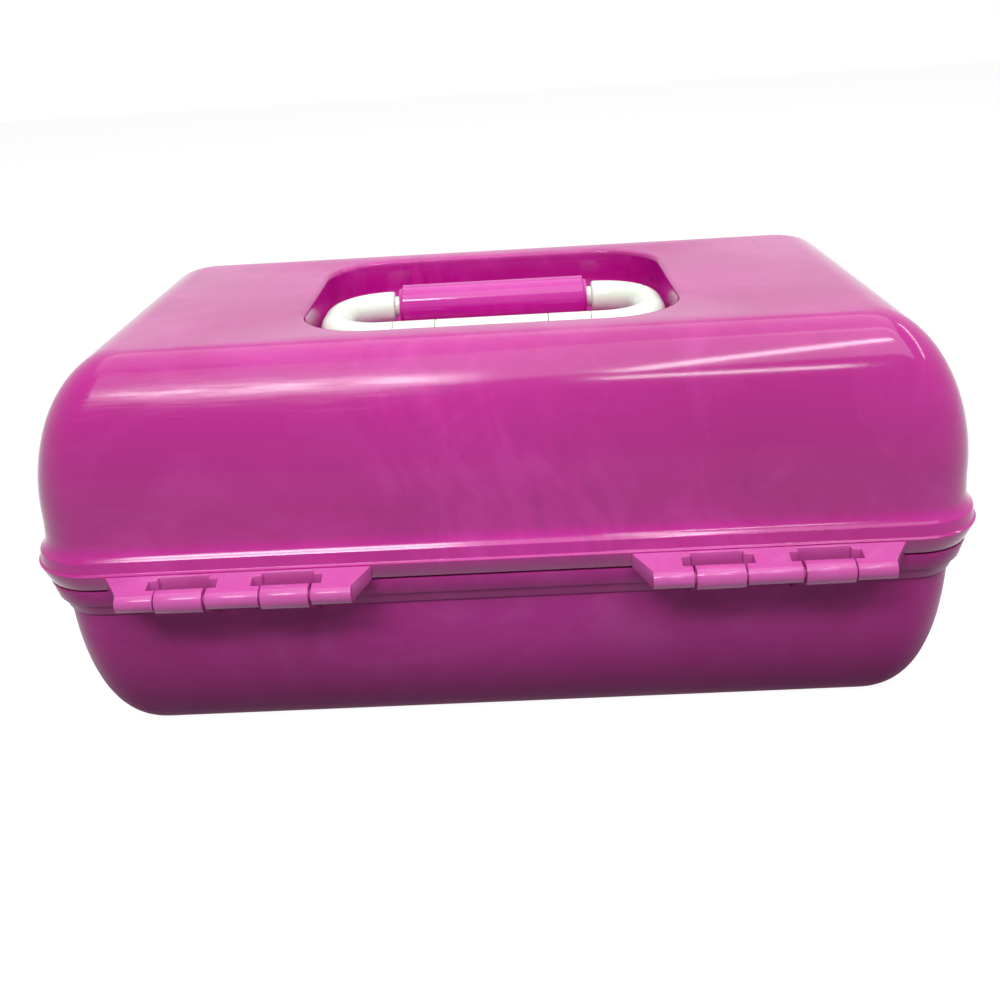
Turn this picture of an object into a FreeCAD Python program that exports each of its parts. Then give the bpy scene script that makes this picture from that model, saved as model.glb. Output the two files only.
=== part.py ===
"""Carry case for make-up: moulded base and domed lid on clip-together hinges, a carrying ring that folds
into a well in the lid, two front latches, a lid mirror and a tray that swings up with the lid.

Frame: origin at the middle of the flat underside, X along the width, latches at -Y, hinges at +Y,
Z up. Millimetres.
"""
import FreeCAD, Part
import math
import os
import Sketcher

SIZES = [
    # the case as a whole
    ("case_width", 320.0, "over the widest line of the rim"),
    ("case_depth", 182.0, "over the widest line of the rim"),
    ("case_height", 140.0, "flat underside to flat top"),
    ("plan_corner", 24.0, "corner radius of the rim seen from above"),
    ("shell_wall", 2.4, "thickness of the moulded shells"),
    ("parting_height", 65.1, "middle of the gap between base and lid"),
    ("parting_gap", 1.0, "gap between base and lid"),
    # the base
    ("base_wall_inset", 7.2, "upper wall of the base, in from the rim's widest line"),
    ("base_wall_height", 53.0, "where the upper wall ends and the bowl starts"),
    ("bowl_drop", 55.1, "vertical half axis of the bowl's curve"),
    ("bowl_side", 17.5, "half axis of the bowl's curve at the two ends"),
    ("bowl_front", 22.5, "half axis of the bowl's curve at front and back"),
    ("bowl_corner", 14.0, "plan corner radius at the underside"),
    ("bowl_fullness", 2.15, "exponent of the bowl's curve, 2 is an ellipse"),
    ("upper_rim_step", 6.2, "height of the upper step of the base rim"),
    ("lower_rim_step", 4.5, "height of the lower step of the base rim"),
    ("rim_ledge", 0.9, "small ledge under each step"),
    ("rim_flare", 1.5, "how far each step of the base rim leans out"),
    ("tongue_height", 3.4, "upstand of the base inside the lid"),
    ("tongue_wall", 1.8, "thickness of the upstand"),
    ("tongue_gap", 0.5, "clearance between the upstand and the lid"),
    # the lid
    ("lid_wall_inset", 3.8, "lid wall in from the rim's widest line"),
    ("lid_wall_height", 87.0, "where the wall ends and the shoulder starts"),
    ("lid_draft", 0.4, "lean of the lid wall over its height"),
    ("rim_band", 5.8, "lid rim from its lower edge to its widest line"),
    ("rim_undercut", 2.2, "lean of that band"),
    ("rim_shelf", 0.8, "shelf above the widest line"),
    ("bead_height", 4.4, "upright band between shelf and bead"),
    ("bead_round", 0.7, "rounding of the bead"),
    ("bead_step", 0.4, "bead's face in from the shelf's edge"),
    ("rim_lip", 0.3, "upright lip at the widest line"),
    ("flare_height", 81.4, "where the flare above the rim bead meets the wall"),
    ("flare_radius", 7.0, "hollow of the flare"),
    ("shoulder_side", 31.6, "shoulder's half axis at the two ends"),
    ("shoulder_front", 25.4, "shoulder's half axis at front and back"),
    ("shoulder_corner", 6.4, "plan corner radius of the flat top"),
    ("shoulder_fullness", 1.97, "exponent of the shoulder's curve, 2 is an ellipse"),
    # the handle well
    ("well_width", 132.4, "well across the case"),
    ("well_depth", 105.2, "well from front to back"),
    ("well_corner", 26.0, "plan corner radius of the well"),
    ("well_drop", 21.0, "flat top down to the well floor"),
    ("well_draft", 0.5, "lean of the well's side"),
    ("well_floor_round", 10.0, "radius between side and floor of the well"),
    ("well_lip_round", 1.8, "radius of the well's upper edge"),
    # the hinges
    ("hinge_outset", 8.0, "hinge axis behind the rim's widest line"),
    ("hinge_height", 66.0, "hinge axis above the underside"),
    ("rod_radius", 3.15, "rounded outer edge of a hinge bracket"),
    ("pin_radius", 1.9, "moulded hinge pin"),
    ("pin_clearance", 0.08, "radial play of the pin in its hook"),
    ("hook_radius", 3.9, "outside of a base hook"),
    ("hook_width", 15.5, "length of a base hook along the axis"),
    ("hook_gap", 0.7, "play at each end of a hook"),
    ("hook_mouth", 3.0, "slot of a hook that the pin is pressed in through"),
    ("inner_hook", 69.5, "middle of the inner hooks from the middle of the case"),
    ("outer_hook", 103.8, "middle of the outer hooks from the middle of the case"),
    ("bracket_rod_start", 48.0, "inner end of a bracket's rod"),
    ("bracket_rod_end", 124.7, "outer end of a bracket's rod"),
    ("bracket_spread", 5.4, "how much wider the bracket is at its root, each end"),
    ("bracket_root", 4.2, "thickness of a bracket where it leaves the rim"),
    ("notch_width", 3.0, "side notch next to a hook window"),
    ("notch_length", 4.2, "side notch, inwards from the rod"),
    # the carrying ring
    ("ring_width", 130.0, "outside of the ring across the case"),
    ("ring_reach", 57.0, "outside of the ring from front to back"),
    ("ring_thickness", 12.0, "diameter of the white ring"),
    ("ring_bend", 18.4, "bend radius of the ring's centre line"),
    ("shoulder_round", 1.2, "rounding of the ring's shoulders at the grip"),
    ("neck_chamfer", 0.2, "chamfer of the ring's shoulders at the clamps"),
    ("ring_pivot_back", 24.0, "pivot bar behind the middle of the case"),
    ("ring_drop", 11.8, "axis of the folded ring below the flat top"),
    ("neck_radius", 4.0, "turned-down necks and spindle of the ring"),
    ("clamp_width", 15.0, "saddle clamp along the pivot bar"),
    ("clamp_middle", 28.0, "middle of a clamp from the middle of the case"),
    ("clamp_gap", 0.25, "play at each end of a clamp"),
    ("clamp_foot", 23.0, "clamp foot from front to back"),
    ("clamp_foot_height", 6.5, "height of the clamp foot"),
    ("clamp_bevel", 1.5, "bevelled upper edges of the clamp foot"),
    ("clamp_screw_spread", 8.0, "clamp screws each side of the pivot"),
    ("clamp_screw_radius", 1.05, "shank of a clamp screw"),
    ("clamp_screw_head", 2.6, "radius of a clamp screw's head"),
    ("clamp_head_height", 1.6, "height of a clamp screw's head"),
    ("clamp_screw_room", 0.55, "radial room round a clamp screw in the well floor"),
    ("clamp_screw_cover", 2.4, "clamp foot left above a screw's end"),
    ("screw_play", 0.05, "radial play of a screw in its pilot hole"),
    ("grip_radius", 8.4, "outside of the grip sleeve"),
    ("grip_length", 74.0, "length of the grip sleeve"),
    ("grip_round", 1.5, "rounded ends of the grip sleeve"),
    ("grip_clearance", 0.08, "radial play of the sleeve on its spindle"),
    ("spindle_length", 78.0, "bare spindle between the ring's shoulders"),
    # the mirror
    ("mirror_width", 180.0, "outside of the mirror frame"),
    ("mirror_depth", 118.0, "outside of the mirror frame"),
    ("mirror_border", 12.0, "visible border of the frame"),
    ("mirror_rebate", 2.0, "how far the glass reaches behind the border"),
    ("mirror_thickness", 5.0, "thickness of the frame"),
    ("glass_thickness", 2.0, "thickness of the mirror glass"),
    ("mirror_drop", 25.7, "flat top down to the mirror frame"),
    ("mirror_lip", 1.5, "border in front of the glass"),
    ("mirror_corner", 8.0, "corner radius of the frame"),
    ("mirror_post", 84.5, "mirror screw posts from the middle, across"),
    ("mirror_post_back", 53.5, "mirror screw posts from the middle, front and back"),
    ("mirror_post_wall", 2.3, "wall of a post round its pilot hole"),
    ("mirror_pilot_depth", 9.0, "pilot hole in a post"),
    ("glass_play", 0.2, "play round the mirror glass"),
    ("mirror_screw_radius", 1.25, "shank of a mirror screw"),
    ("mirror_screw_bite", 4.0, "how much a mirror screw is longer than the frame is thick"),
    ("mirror_screw_head", 2.7, "radius of a mirror screw's head"),
    ("mirror_head_height", 1.7, "height of a mirror screw's head"),
    ("mirror_screw_room", 0.35, "radial room round a mirror screw in the frame"),
    ("mirror_sink_room", 0.3, "radial room round a mirror screw's head"),
    ("mirror_sink_depth", 2.0, "depth of the sink for a mirror screw's head"),
    # the latches
    ("latch_middle", 95.0, "middle of a latch from the middle of the case"),
    ("latch_width", 34.0, "width of a latch"),
    ("latch_outset", 4.4, "latch axis in front of the rim's widest line"),
    ("latch_height", 73.0, "latch axis above the underside"),
    ("latch_barrel", 3.4, "outside of the latch barrel and its lugs"),
    ("latch_pin_radius", 1.5, "latch pin"),
    ("latch_thickness", 2.7, "thickness of the latch plate"),
    ("latch_side_gap", 0.4, "play between a latch and its lugs"),
    ("latch_play", 0.06, "radial play of a latch on its pin"),
    ("lug_width", 4.0, "width of a latch lug"),
    ("keeper_reach", 5.0, "how far the keeper stands out of the base wall"),
    ("keeper_height", 51.0, "underside of the keeper"),
    ("keeper_face", 2.2, "height of the keeper's front face"),
    ("catch_gap", 0.4, "play between catch and keeper"),
    # the tray and its arms
    ("tray_front", 77.0, "front of the tray's rim from the middle"),
    ("tray_back", 66.0, "back of the tray's rim from the middle"),
    ("tray_end_inset", 19.5, "end of the tray, in from the rim's widest line"),
    ("tray_floor_height", 34.0, "underside of the tray"),
    ("tray_rim_height", 62.0, "top of the tray"),
    ("tray_wall", 2.0, "wall and floor of the tray"),
    ("tray_lean", 3.0, "lean of the tray's long sides over their height"),
    ("tray_corner", 8.0, "plan corner radius of the tray"),
    ("tray_row_offset", 8.0, "wall between the rows of cells, in front of the tray's middle"),
    ("tray_boss_radius", 4.5, "outside of the tray's pivot bosses"),
    ("ear_radius", 5.0, "rounded end of the tray's ears and of the lid's lugs beside them"),
    ("lid_lug_gap", 1.0, "lid's tray lug, out from the inner face of an arm"),
    ("lid_lug_thickness", 3.4, "thickness of the lid's tray lugs"),
    ("crank_length", 60.0, "between the pivots of an arm"),
    ("arm_pivot_back", 30.0, "arm pivot on the base from the middle"),
    ("arm_pivot_height", 56.0, "arm pivot on the base above the underside"),
    ("arm_inset", 16.8, "inner face of an arm, in from the rim's widest line"),
    ("arm_thickness", 2.6, "thickness of an arm"),
    ("arm_radius", 6.0, "rounded end of an arm"),
    ("stud_radius", 2.5, "pivot studs of the tray"),
    ("stud_play", 0.08, "radial play of a stud in an arm"),
    ("open_pivot_play", 0.3, "radial play of the lid's stud in the tray's ear"),
    ("stud_head_radius", 4.4, "head of a stud"),
    ("stud_head", 1.3, "thickness of a stud's head"),
    ("side_play", 0.3, "play beside an arm"),
]

SHOULDER_STEPS = (0, 13, 26, 39, 52, 64, 76, 90)   # degrees along the lid's shoulder
BOWL_STEPS = 6                                      # sections of the base's bowl
WELL_STEPS = (0, 30, 60, 90)                        # degrees round the well's floor radius
SIDES = (("left", -1), ("right", 1))                # seen from the latches


class Size:
    """A length with the expression that gives it, so that a sketch follows the spreadsheet."""

    def __init__(self, value, text):
        self.value = value
        self.text = text

    def __add__(self, other):
        other = as_size(other)
        return Size(self.value + other.value, f"({self.text} + {other.text})")

    def __sub__(self, other):
        other = as_size(other)
        return Size(self.value - other.value, f"({self.text} - {other.text})")

    def __mul__(self, factor):
        return Size(self.value * factor, f"({self.text} * {factor:.9f})")

    def __truediv__(self, divisor):
        return Size(self.value / divisor, f"({self.text} / {divisor:.9f})")

    def __neg__(self):
        return Size(-self.value, f"(0 - {self.text})")

    __rmul__ = __mul__
    __radd__ = __add__


def as_size(number):
    return number if isinstance(number, Size) else Size(float(number), f"{number:.9f}")


class Sheet:
    """The spreadsheet's cells by name."""


doc = FreeCAD.newDocument("carry_case")
sheet = doc.addObject("Spreadsheet::Sheet", "sizes")
size = Sheet()
for row, (alias, number, note) in enumerate(SIZES, 1):
    sheet.set(f"A{row}", alias)
    sheet.set(f"B{row}", str(number))
    sheet.set(f"C{row}", note)
    sheet.setAlias(f"B{row}", alias)
    setattr(size, alias, Size(number, f"sizes.{alias}"))
doc.recompute()


# ---------------------------------------------------------------- sketches and features

def new_body(label):
    body = doc.addObject("PartDesign::Body", label)
    body.Label = label
    return body


def sketch_on(body, name, plane, offset=0.0):
    """An empty sketch on one of the body's own origin planes, moved along its normal."""
    sketch = body.newObject("Sketcher::SketchObject", name)
    support = [item for item in body.Origin.OriginFeatures if item.Role == plane][0]
    sketch.AttachmentSupport = [(support, "")]
    sketch.MapMode = "FlatFace"
    offset = as_size(offset)
    sketch.AttachmentOffset = FreeCAD.Placement(FreeCAD.Vector(0, 0, offset.value), FreeCAD.Rotation())
    sketch.setExpression("AttachmentOffset.Base.z", offset.text)
    return sketch


def bind(sketch, kind, *where, to):
    """A sized constraint that follows an expression."""
    index = sketch.addConstraint(Sketcher.Constraint(kind, *where, to.value))
    sketch.setExpression(f"Constraints[{index}]", to.text)


def fix_point(sketch, geometry, position, across, up):
    """Hold a point at its distances from the sketch's origin."""
    for kind, axis, to in (("DistanceX", -2, across), ("DistanceY", -1, up)):
        to = as_size(to)
        if abs(to.value) < 1e-9:
            sketch.addConstraint(Sketcher.Constraint("PointOnObject", geometry, position, axis))
        else:
            bind(sketch, kind, -1, 1, geometry, position, to=to)


def rounded_rectangle(body, name, height, half_x, half_y, corner, middle_y=0.0):
    """A rectangle with four equal corner arcs on the XY plane, raised to a height."""
    sketch = sketch_on(body, name, "XY_Plane", height)
    x, y, r, shift = half_x.value, half_y.value, corner.value, as_size(middle_y).value
    centres = ((x - r, y - r), (r - x, y - r), (r - x, r - y), (x - r, r - y))
    for index, (cx, cy) in enumerate(centres):
        centre = FreeCAD.Vector(cx, cy + shift, 0)
        circle = Part.Circle(centre, FreeCAD.Vector(0, 0, 1), r)
        start = math.radians(90 * index)
        sketch.addGeometry(Part.ArcOfCircle(circle, start, start + math.pi / 2))
        turn = FreeCAD.Rotation(FreeCAD.Vector(0, 0, 1), 90 * (index + 1))
        outward = turn.multVec(FreeCAD.Vector(r, 0, 0))
        next_x, next_y = centres[(index + 1) % 4]
        following = FreeCAD.Vector(next_x, next_y + shift, 0)
        sketch.addGeometry(Part.LineSegment(centre + outward, following + outward))
    for index in range(4):
        arc, line, next_arc = 2 * index, 2 * index + 1, (2 * index + 2) % 8
        sketch.addConstraint(Sketcher.Constraint("Tangent", arc, 2, line, 1))
        sketch.addConstraint(Sketcher.Constraint("Tangent", line, 2, next_arc, 1))
        sketch.addConstraint(Sketcher.Constraint(("Horizontal", "Vertical")[index % 2], line))
        if index:
            sketch.addConstraint(Sketcher.Constraint("Equal", 0, arc))
    bind(sketch, "Radius", 0, to=corner)
    fix_point(sketch, 7, 1, half_x, corner - half_y + middle_y)
    fix_point(sketch, 3, 1, -half_x, half_y - corner + middle_y)
    return sketch


def outlines(body, name, plane, offset, loops):
    """Closed outlines through (across, up) points. A point may carry a radius for the arc that
    leads to the next one: positive hollows it to the left of the way, negative to the right."""
    sketch = sketch_on(body, name, plane, offset)
    for points in loops:
        add_loop(sketch, [tuple(as_size(number) for number in point) for point in points])
    return sketch


def outline(body, name, plane, offset, points):
    return outlines(body, name, plane, offset, [points])


def add_loop(sketch, points):
    places = [FreeCAD.Vector(point[0].value, point[1].value, 0) for point in points]
    ends = []
    for index, point in enumerate(points):
        start, finish = places[index], places[(index + 1) % len(places)]
        edge = Part.LineSegment(start, finish)
        if len(point) == 3:
            edge = Part.Arc(start, arc_middle(start, finish, point[2].value), finish)
        geometry = sketch.addGeometry(edge)
        first = 1 if sketch.getPoint(geometry, 1).distanceToPoint(start) < 1e-6 else 2
        ends.append((geometry, first, 3 - first))
    for index, (geometry, first, last) in enumerate(ends):
        following = ends[(index + 1) % len(ends)]
        sketch.addConstraint(Sketcher.Constraint("Coincident", geometry, last, following[0], following[1]))
        fix_point(sketch, geometry, first, points[index][0], points[index][1])
        if len(points[index]) == 3:
            radius = points[index][2]
            bind(sketch, "Radius", geometry, to=radius if radius.value > 0 else -radius)


def arc_middle(start, finish, radius):
    """The middle point of the shorter arc between two points."""
    chord = finish - start
    left = FreeCAD.Vector(-chord.y, chord.x, 0).normalize()
    sagitta = abs(radius) - math.sqrt(radius ** 2 - (chord.Length / 2) ** 2)
    return (start + finish) * 0.5 + left * math.copysign(sagitta, radius)


def circles(body, name, plane, offset, rounds):
    """Full circles, each (across, up, radius)."""
    sketch = sketch_on(body, name, plane, offset)
    for across, up, radius in rounds:
        across, up, radius = as_size(across), as_size(up), as_size(radius)
        centre = FreeCAD.Vector(across.value, up.value, 0)
        geometry = sketch.addGeometry(Part.Circle(centre, FreeCAD.Vector(0, 0, 1), radius.value))
        bind(sketch, "Radius", geometry, to=radius)
        fix_point(sketch, geometry, 3, across, up)
    return sketch


def rectangles(body, name, plane, offset, boxes):
    """Rectangles in one sketch, each (left, right, bottom, top)."""
    sketch = sketch_on(body, name, plane, offset)
    for box in boxes:
        left, right, bottom, top = (as_size(number) for number in box)
        corners = ((left, bottom), (right, bottom), (right, top), (left, top))
        places = [FreeCAD.Vector(across.value, up.value, 0) for across, up in corners]
        lines = []
        for index in range(4):
            line = Part.LineSegment(places[index], places[(index + 1) % 4])
            lines.append(sketch.addGeometry(line))
        for index in range(4):
            follow = lines[(index + 1) % 4]
            sketch.addConstraint(Sketcher.Constraint("Coincident", lines[index], 2, follow, 1))
            sketch.addConstraint(Sketcher.Constraint(("Horizontal", "Vertical")[index % 2], lines[index]))
        fix_point(sketch, lines[0], 1, left, bottom)
        fix_point(sketch, lines[2], 1, right, top)
    return sketch


def extrude(body, kind, sketch, length, reverse=False, midplane=False):
    """Pad or Pocket by a length. A pocket cuts against the sketch's normal unless reversed."""
    feature = body.newObject(f"PartDesign::{kind}", f"{kind}_{sketch.Name}")
    feature.Refine = False
    feature.Profile = sketch
    length = as_size(length)
    feature.Length = length.value
    feature.setExpression("Length", length.text)
    feature.Reversed = reverse
    feature.Midplane = midplane
    doc.recompute()
    return feature


def pad(body, sketch, length, **how):
    return extrude(body, "Pad", sketch, length, **how)


def pocket(body, sketch, length, **how):
    return extrude(body, "Pocket", sketch, length, **how)


def loft(body, kind, sketches, ruled=False):
    feature = body.newObject(f"PartDesign::{kind}", f"{kind}_{sketches[0].Name}")
    feature.Refine = False
    feature.Profile = sketches[0]
    feature.Sections = sketches[1:]
    feature.Ruled = ruled
    doc.recompute()
    return feature


def sweep(body, profile, path):
    feature = body.newObject("PartDesign::AdditivePipe", f"Pipe_{profile.Name}")
    feature.Refine = False
    feature.Profile = profile
    feature.Spine = (path, [f"Edge{index + 1}" for index in range(len(path.Shape.Edges))])
    doc.recompute()
    return feature


def turn(body, kind, sketch, axis):
    """Revolution or Groove once round one of the sketch's own construction lines."""
    feature = body.newObject(f"PartDesign::{kind}", f"{kind}_{sketch.Name}")
    feature.Refine = False
    feature.Profile = sketch
    feature.ReferenceAxis = (sketch, [axis])
    feature.Angle = 360
    doc.recompute()
    return feature


def rim_path(body, name):
    """The rim's widest line, the path that the rim profiles follow."""
    half_x, half_y = size.case_width / 2, size.case_depth / 2
    return rounded_rectangle(body, name, 0.0, half_x, half_y, size.plan_corner)


# ---------------------------------------------------------------- shared places

half_width = size.case_width / 2
half_depth = size.case_depth / 2
base_top = size.parting_height - size.parting_gap / 2
lid_bottom = size.parting_height + size.parting_gap / 2
hinge_back = half_depth + size.hinge_outset
latch_front = -(half_depth + size.latch_outset)
ring_height = size.case_height - size.ring_drop
ring_radius = size.ring_thickness / 2
pivot_back = size.ring_pivot_back
grip_back = pivot_back - size.ring_reach + size.ring_thickness
well_floor = size.case_height - size.well_drop
tray_half_width = half_width - size.tray_end_inset
arm_face = half_width - size.arm_inset


# ---------------------------------------------------------------- base shell

def inset_section(body, name, height, inset_x, inset_y, corner):
    """A horizontal section of a shell, by how far it lies inside the rim's widest line."""
    return rounded_rectangle(body, name, height, half_width - inset_x, half_depth - inset_y, corner)


def bowl_sections(body, name, wall):
    """Sections of the bowl-shaped lower part, from the upper wall down to its floor."""
    drop = size.bowl_drop - wall
    power = 2 / size.bowl_fullness.value
    end = math.asin(((size.base_wall_height - wall).value / drop.value) ** (1 / power))
    first_corner = size.plan_corner - size.base_wall_inset
    sections = []
    for step in range(BOWL_STEPS + 1):
        angle = end * step / BOWL_STEPS
        away = math.cos(angle) ** power
        share = (1 - away) / (1 - math.cos(end) ** power)
        inset_x = size.base_wall_inset + size.bowl_side - (size.bowl_side - wall) * away
        inset_y = size.base_wall_inset + size.bowl_front - (size.bowl_front - wall) * away
        corner = first_corner + (size.bowl_corner - first_corner) * share - wall
        height = size.base_wall_height - drop * math.sin(angle) ** power
        sections.append(inset_section(body, f"{name}_{step}", height, inset_x, inset_y, corner))
    return sections


def rim_profile(body, name, points):
    """A rim profile from (inset, height) points, square to the path at its first point."""
    offset = size.plan_corner - half_depth
    points = [(half_width - point[0], *point[1:]) for point in points]
    return outline(body, name, "XZ_Plane", offset, points)


def span(side, near, far):
    """Where an extrusion along +X starts, for a piece between two distances from the middle."""
    return near if side > 0 else -far


def knuckle(body, name, start, length, points, centre, radius):
    """A plate with a round end: an outline and a circle in the YZ plane, padded along +X."""
    pad(body, outline(body, f"{name}_plate", "YZ_Plane", start, points), length)
    pad(body, circles(body, f"{name}_end", "YZ_Plane", start, [(*centre, radius)]), length)


no_wall = as_size(0)
lid_inner_inset = size.lid_wall_inset + size.shell_wall
base_inner_inset = size.base_wall_inset + size.shell_wall
upper_step = base_top - size.upper_rim_step
lower_step = upper_step - size.lower_rim_step
hook_middles = (size.inner_hook, size.outer_hook)
hinge_axis = (hinge_back, size.hinge_height)

base = new_body("base_shell")
loft(base, "AdditiveLoft", bowl_sections(base, "bowl", no_wall))
loft(base, "SubtractiveLoft", bowl_sections(base, "bowl_inside", size.shell_wall), ruled=True)

first_out = size.base_wall_inset - size.rim_ledge
second_in = first_out - size.rim_flare
second_out = second_in - size.rim_ledge
tongue_out = lid_inner_inset + size.tongue_gap
tongue_in = tongue_out + size.tongue_wall
tongue_top = base_top + size.tongue_height
base_rim = rim_profile(base, "base_rim", [
    (size.base_wall_inset, size.base_wall_height),
    (base_inner_inset, size.base_wall_height),
    (base_inner_inset, lower_step),
    (tongue_in, upper_step),
    (tongue_in, tongue_top),
    (tongue_out, tongue_top),
    (tongue_out, base_top),
    (second_out - size.rim_flare, base_top),
    (second_out, upper_step),
    (second_in, upper_step),
    (first_out, lower_step),
    (size.base_wall_inset, lower_step),
])
sweep(base, base_rim, rim_path(base, "base_rim_path"))

arm_root = half_depth - size.base_wall_inset - size.shell_wall / 2
for label, side in SIDES:
    for order, middle in enumerate(hook_middles):
        start = span(side, middle - size.hook_width / 2, middle + size.hook_width / 2)
        knuckle(base, f"hook_{label}_{order}", start, size.hook_width, [
            (arm_root, size.base_wall_height - 2),
            (hinge_back - 0.6, size.hinge_height - size.hook_radius),
            (hinge_back - size.hook_radius + 0.4, size.hinge_height - 1),
            (arm_root + 3, upper_step - 1.2),
            (arm_root, upper_step - 1.2),
        ], hinge_axis, size.hook_radius)
hook_bore = circles(base, "hook_bore", "YZ_Plane", 0, [(*hinge_axis, size.pin_radius + size.pin_clearance)])
pocket(base, hook_bore, size.case_width, midplane=True)
mouth = size.hook_mouth / 2
hook_mouth = outline(base, "hook_mouth_cut", "YZ_Plane", 0, [
    (hinge_back, size.hinge_height - mouth + 0.6),
    (hinge_back, size.hinge_height + mouth + 0.6),
    (hinge_back - size.hook_radius - 1, size.hinge_height + mouth + 1.6),
    (hinge_back - size.hook_radius - 1, size.hinge_height - mouth + 1.6),
])
pocket(base, hook_mouth, size.case_width, midplane=True)

wall_front = -(half_depth - size.base_wall_inset)
keeper_front = wall_front - size.keeper_reach
keeper_width = size.latch_width * 0.6
for label, side in SIDES:
    start = span(side, size.latch_middle - keeper_width / 2, size.latch_middle + keeper_width / 2)
    keeper = outline(base, f"keeper_{label}", "YZ_Plane", start, [
        (wall_front + size.shell_wall / 2, size.keeper_height),
        (wall_front + size.shell_wall / 2, lower_step + 1),
        (wall_front - 0.5, lower_step + 1),
        (keeper_front, size.keeper_height + size.keeper_face),
        (keeper_front, size.keeper_height),
    ])
    pad(base, keeper, keeper_width)

arm_pivot = (size.arm_pivot_back, size.arm_pivot_height)
boss_face = arm_face + size.arm_thickness + size.side_play
boss_end = half_width - size.base_wall_inset - size.shell_wall / 2
for label, side in SIDES:
    start = span(side, boss_face, boss_end)
    boss = circles(base, f"arm_boss_{label}", "YZ_Plane", start, [(*arm_pivot, size.arm_radius - 1)])
    pad(base, boss, boss_end - boss_face)
    hole_depth = boss_end - boss_face - 0.6
    start = span(side, boss_face, boss_face + hole_depth)
    hole = circles(base, f"arm_hole_{label}", "YZ_Plane", start, [(*arm_pivot, size.stud_radius)])
    pocket(base, hole, hole_depth, reverse=True)

# ---------------------------------------------------------------- lid shell

def shoulder_sections(body, name, wall):
    """Sections of the domed shoulder, from the top of the wall to the flat top."""
    rise = size.case_height - size.lid_wall_height - wall
    foot_inset = size.lid_wall_inset + size.lid_draft
    foot_corner = size.plan_corner - foot_inset
    power = 2 / size.shoulder_fullness.value
    sections = []
    for step in SHOULDER_STEPS:
        angle = math.radians(step)
        up = math.sin(angle) ** power
        away = abs(math.cos(angle)) ** power if step < 90 else 0.0
        inset_x = foot_inset + size.shoulder_side - (size.shoulder_side - wall) * away
        inset_y = foot_inset + size.shoulder_front - (size.shoulder_front - wall) * away
        corner = size.shoulder_corner + (foot_corner - size.shoulder_corner - wall) * away
        height = size.lid_wall_height + rise * up
        sections.append(inset_section(body, f"{name}_{step}", height, inset_x, inset_y, corner))
    return sections


def well_wall(body, name, wall, top):
    """The drafted side of the well, as two sections."""
    half_x, half_y = size.well_width / 2 + wall, size.well_depth / 2 + wall
    foot = well_floor + size.well_floor_round
    lean = size.well_draft
    return [
        rounded_rectangle(body, f"{name}_top", top, half_x, half_y, size.well_corner + wall),
        rounded_rectangle(body, f"{name}_foot", foot, half_x - lean, half_y - lean,
                          size.well_corner + wall - lean),
    ]


def well_bottom(body, name, wall):
    """The rounded edge between the well's side and its floor."""
    half_x = size.well_width / 2 - size.well_draft - size.well_floor_round
    half_y = size.well_depth / 2 - size.well_draft - size.well_floor_round
    corner = size.well_corner - size.well_draft - size.well_floor_round
    radius = size.well_floor_round + wall
    sections = []
    for step in WELL_STEPS:
        out = radius * math.cos(math.radians(step)) if step < 90 else no_wall
        height = well_floor + size.well_floor_round - radius * math.sin(math.radians(step))
        sections.append(rounded_rectangle(body, f"{name}_{step}", height, half_x + out, half_y + out,
                                          corner + out))
    return sections


lid = new_body("lid_shell")
loft(lid, "AdditiveLoft", shoulder_sections(lid, "shoulder", no_wall))
loft(lid, "SubtractiveLoft", shoulder_sections(lid, "shoulder_inside", size.shell_wall), ruled=True)

widest = lid_bottom + size.rim_band
shelf = widest + size.rim_shelf
bead_top = shelf + size.bead_height
bead_inset = size.rim_shelf + size.bead_step
lid_rim = rim_profile(lid, "lid_rim", [
    (lid_inner_inset, lid_bottom),
    (lid_inner_inset + size.lid_draft, size.lid_wall_height),
    (size.lid_wall_inset + size.lid_draft, size.lid_wall_height),
    (size.lid_wall_inset, size.flare_height, -size.flare_radius),
    (bead_inset + size.bead_round, bead_top),
    (bead_inset, bead_top - size.bead_round),
    (size.rim_shelf, shelf),
    (no_wall, widest + size.rim_lip),
    (no_wall, widest),
    (size.rim_undercut, lid_bottom),
])
sweep(lid, lid_rim, rim_path(lid, "lid_rim_path"))

skin = size.shell_wall / 2
loft(lid, "AdditiveLoft", well_wall(lid, "tub", size.shell_wall, size.case_height - skin), ruled=True)
loft(lid, "AdditiveLoft", well_bottom(lid, "tub_bottom", size.shell_wall), ruled=True)
loft(lid, "SubtractiveLoft", well_wall(lid, "well", no_wall, size.case_height), ruled=True)
loft(lid, "SubtractiveLoft", well_bottom(lid, "well_bottom", no_wall))

lip_edges = []
for index, edge in enumerate(lid.Shape.Edges, 1):
    box = edge.BoundBox
    on_top = abs(box.ZMin - size.case_height.value) < 1e-4 and abs(box.ZMax - size.case_height.value) < 1e-4
    inside = max(abs(box.XMin), abs(box.XMax)) < size.well_width.value / 2 + 0.01
    if on_top and inside:
        lip_edges.append(f"Edge{index}")
well_body = lid.Tip
lip = lid.newObject("PartDesign::Fillet", "well_lip")
lip.Base = (well_body, lip_edges)
lip.Radius = size.well_lip_round.value
lip.setExpression("Radius", size.well_lip_round.text)
doc.recompute()

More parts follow.
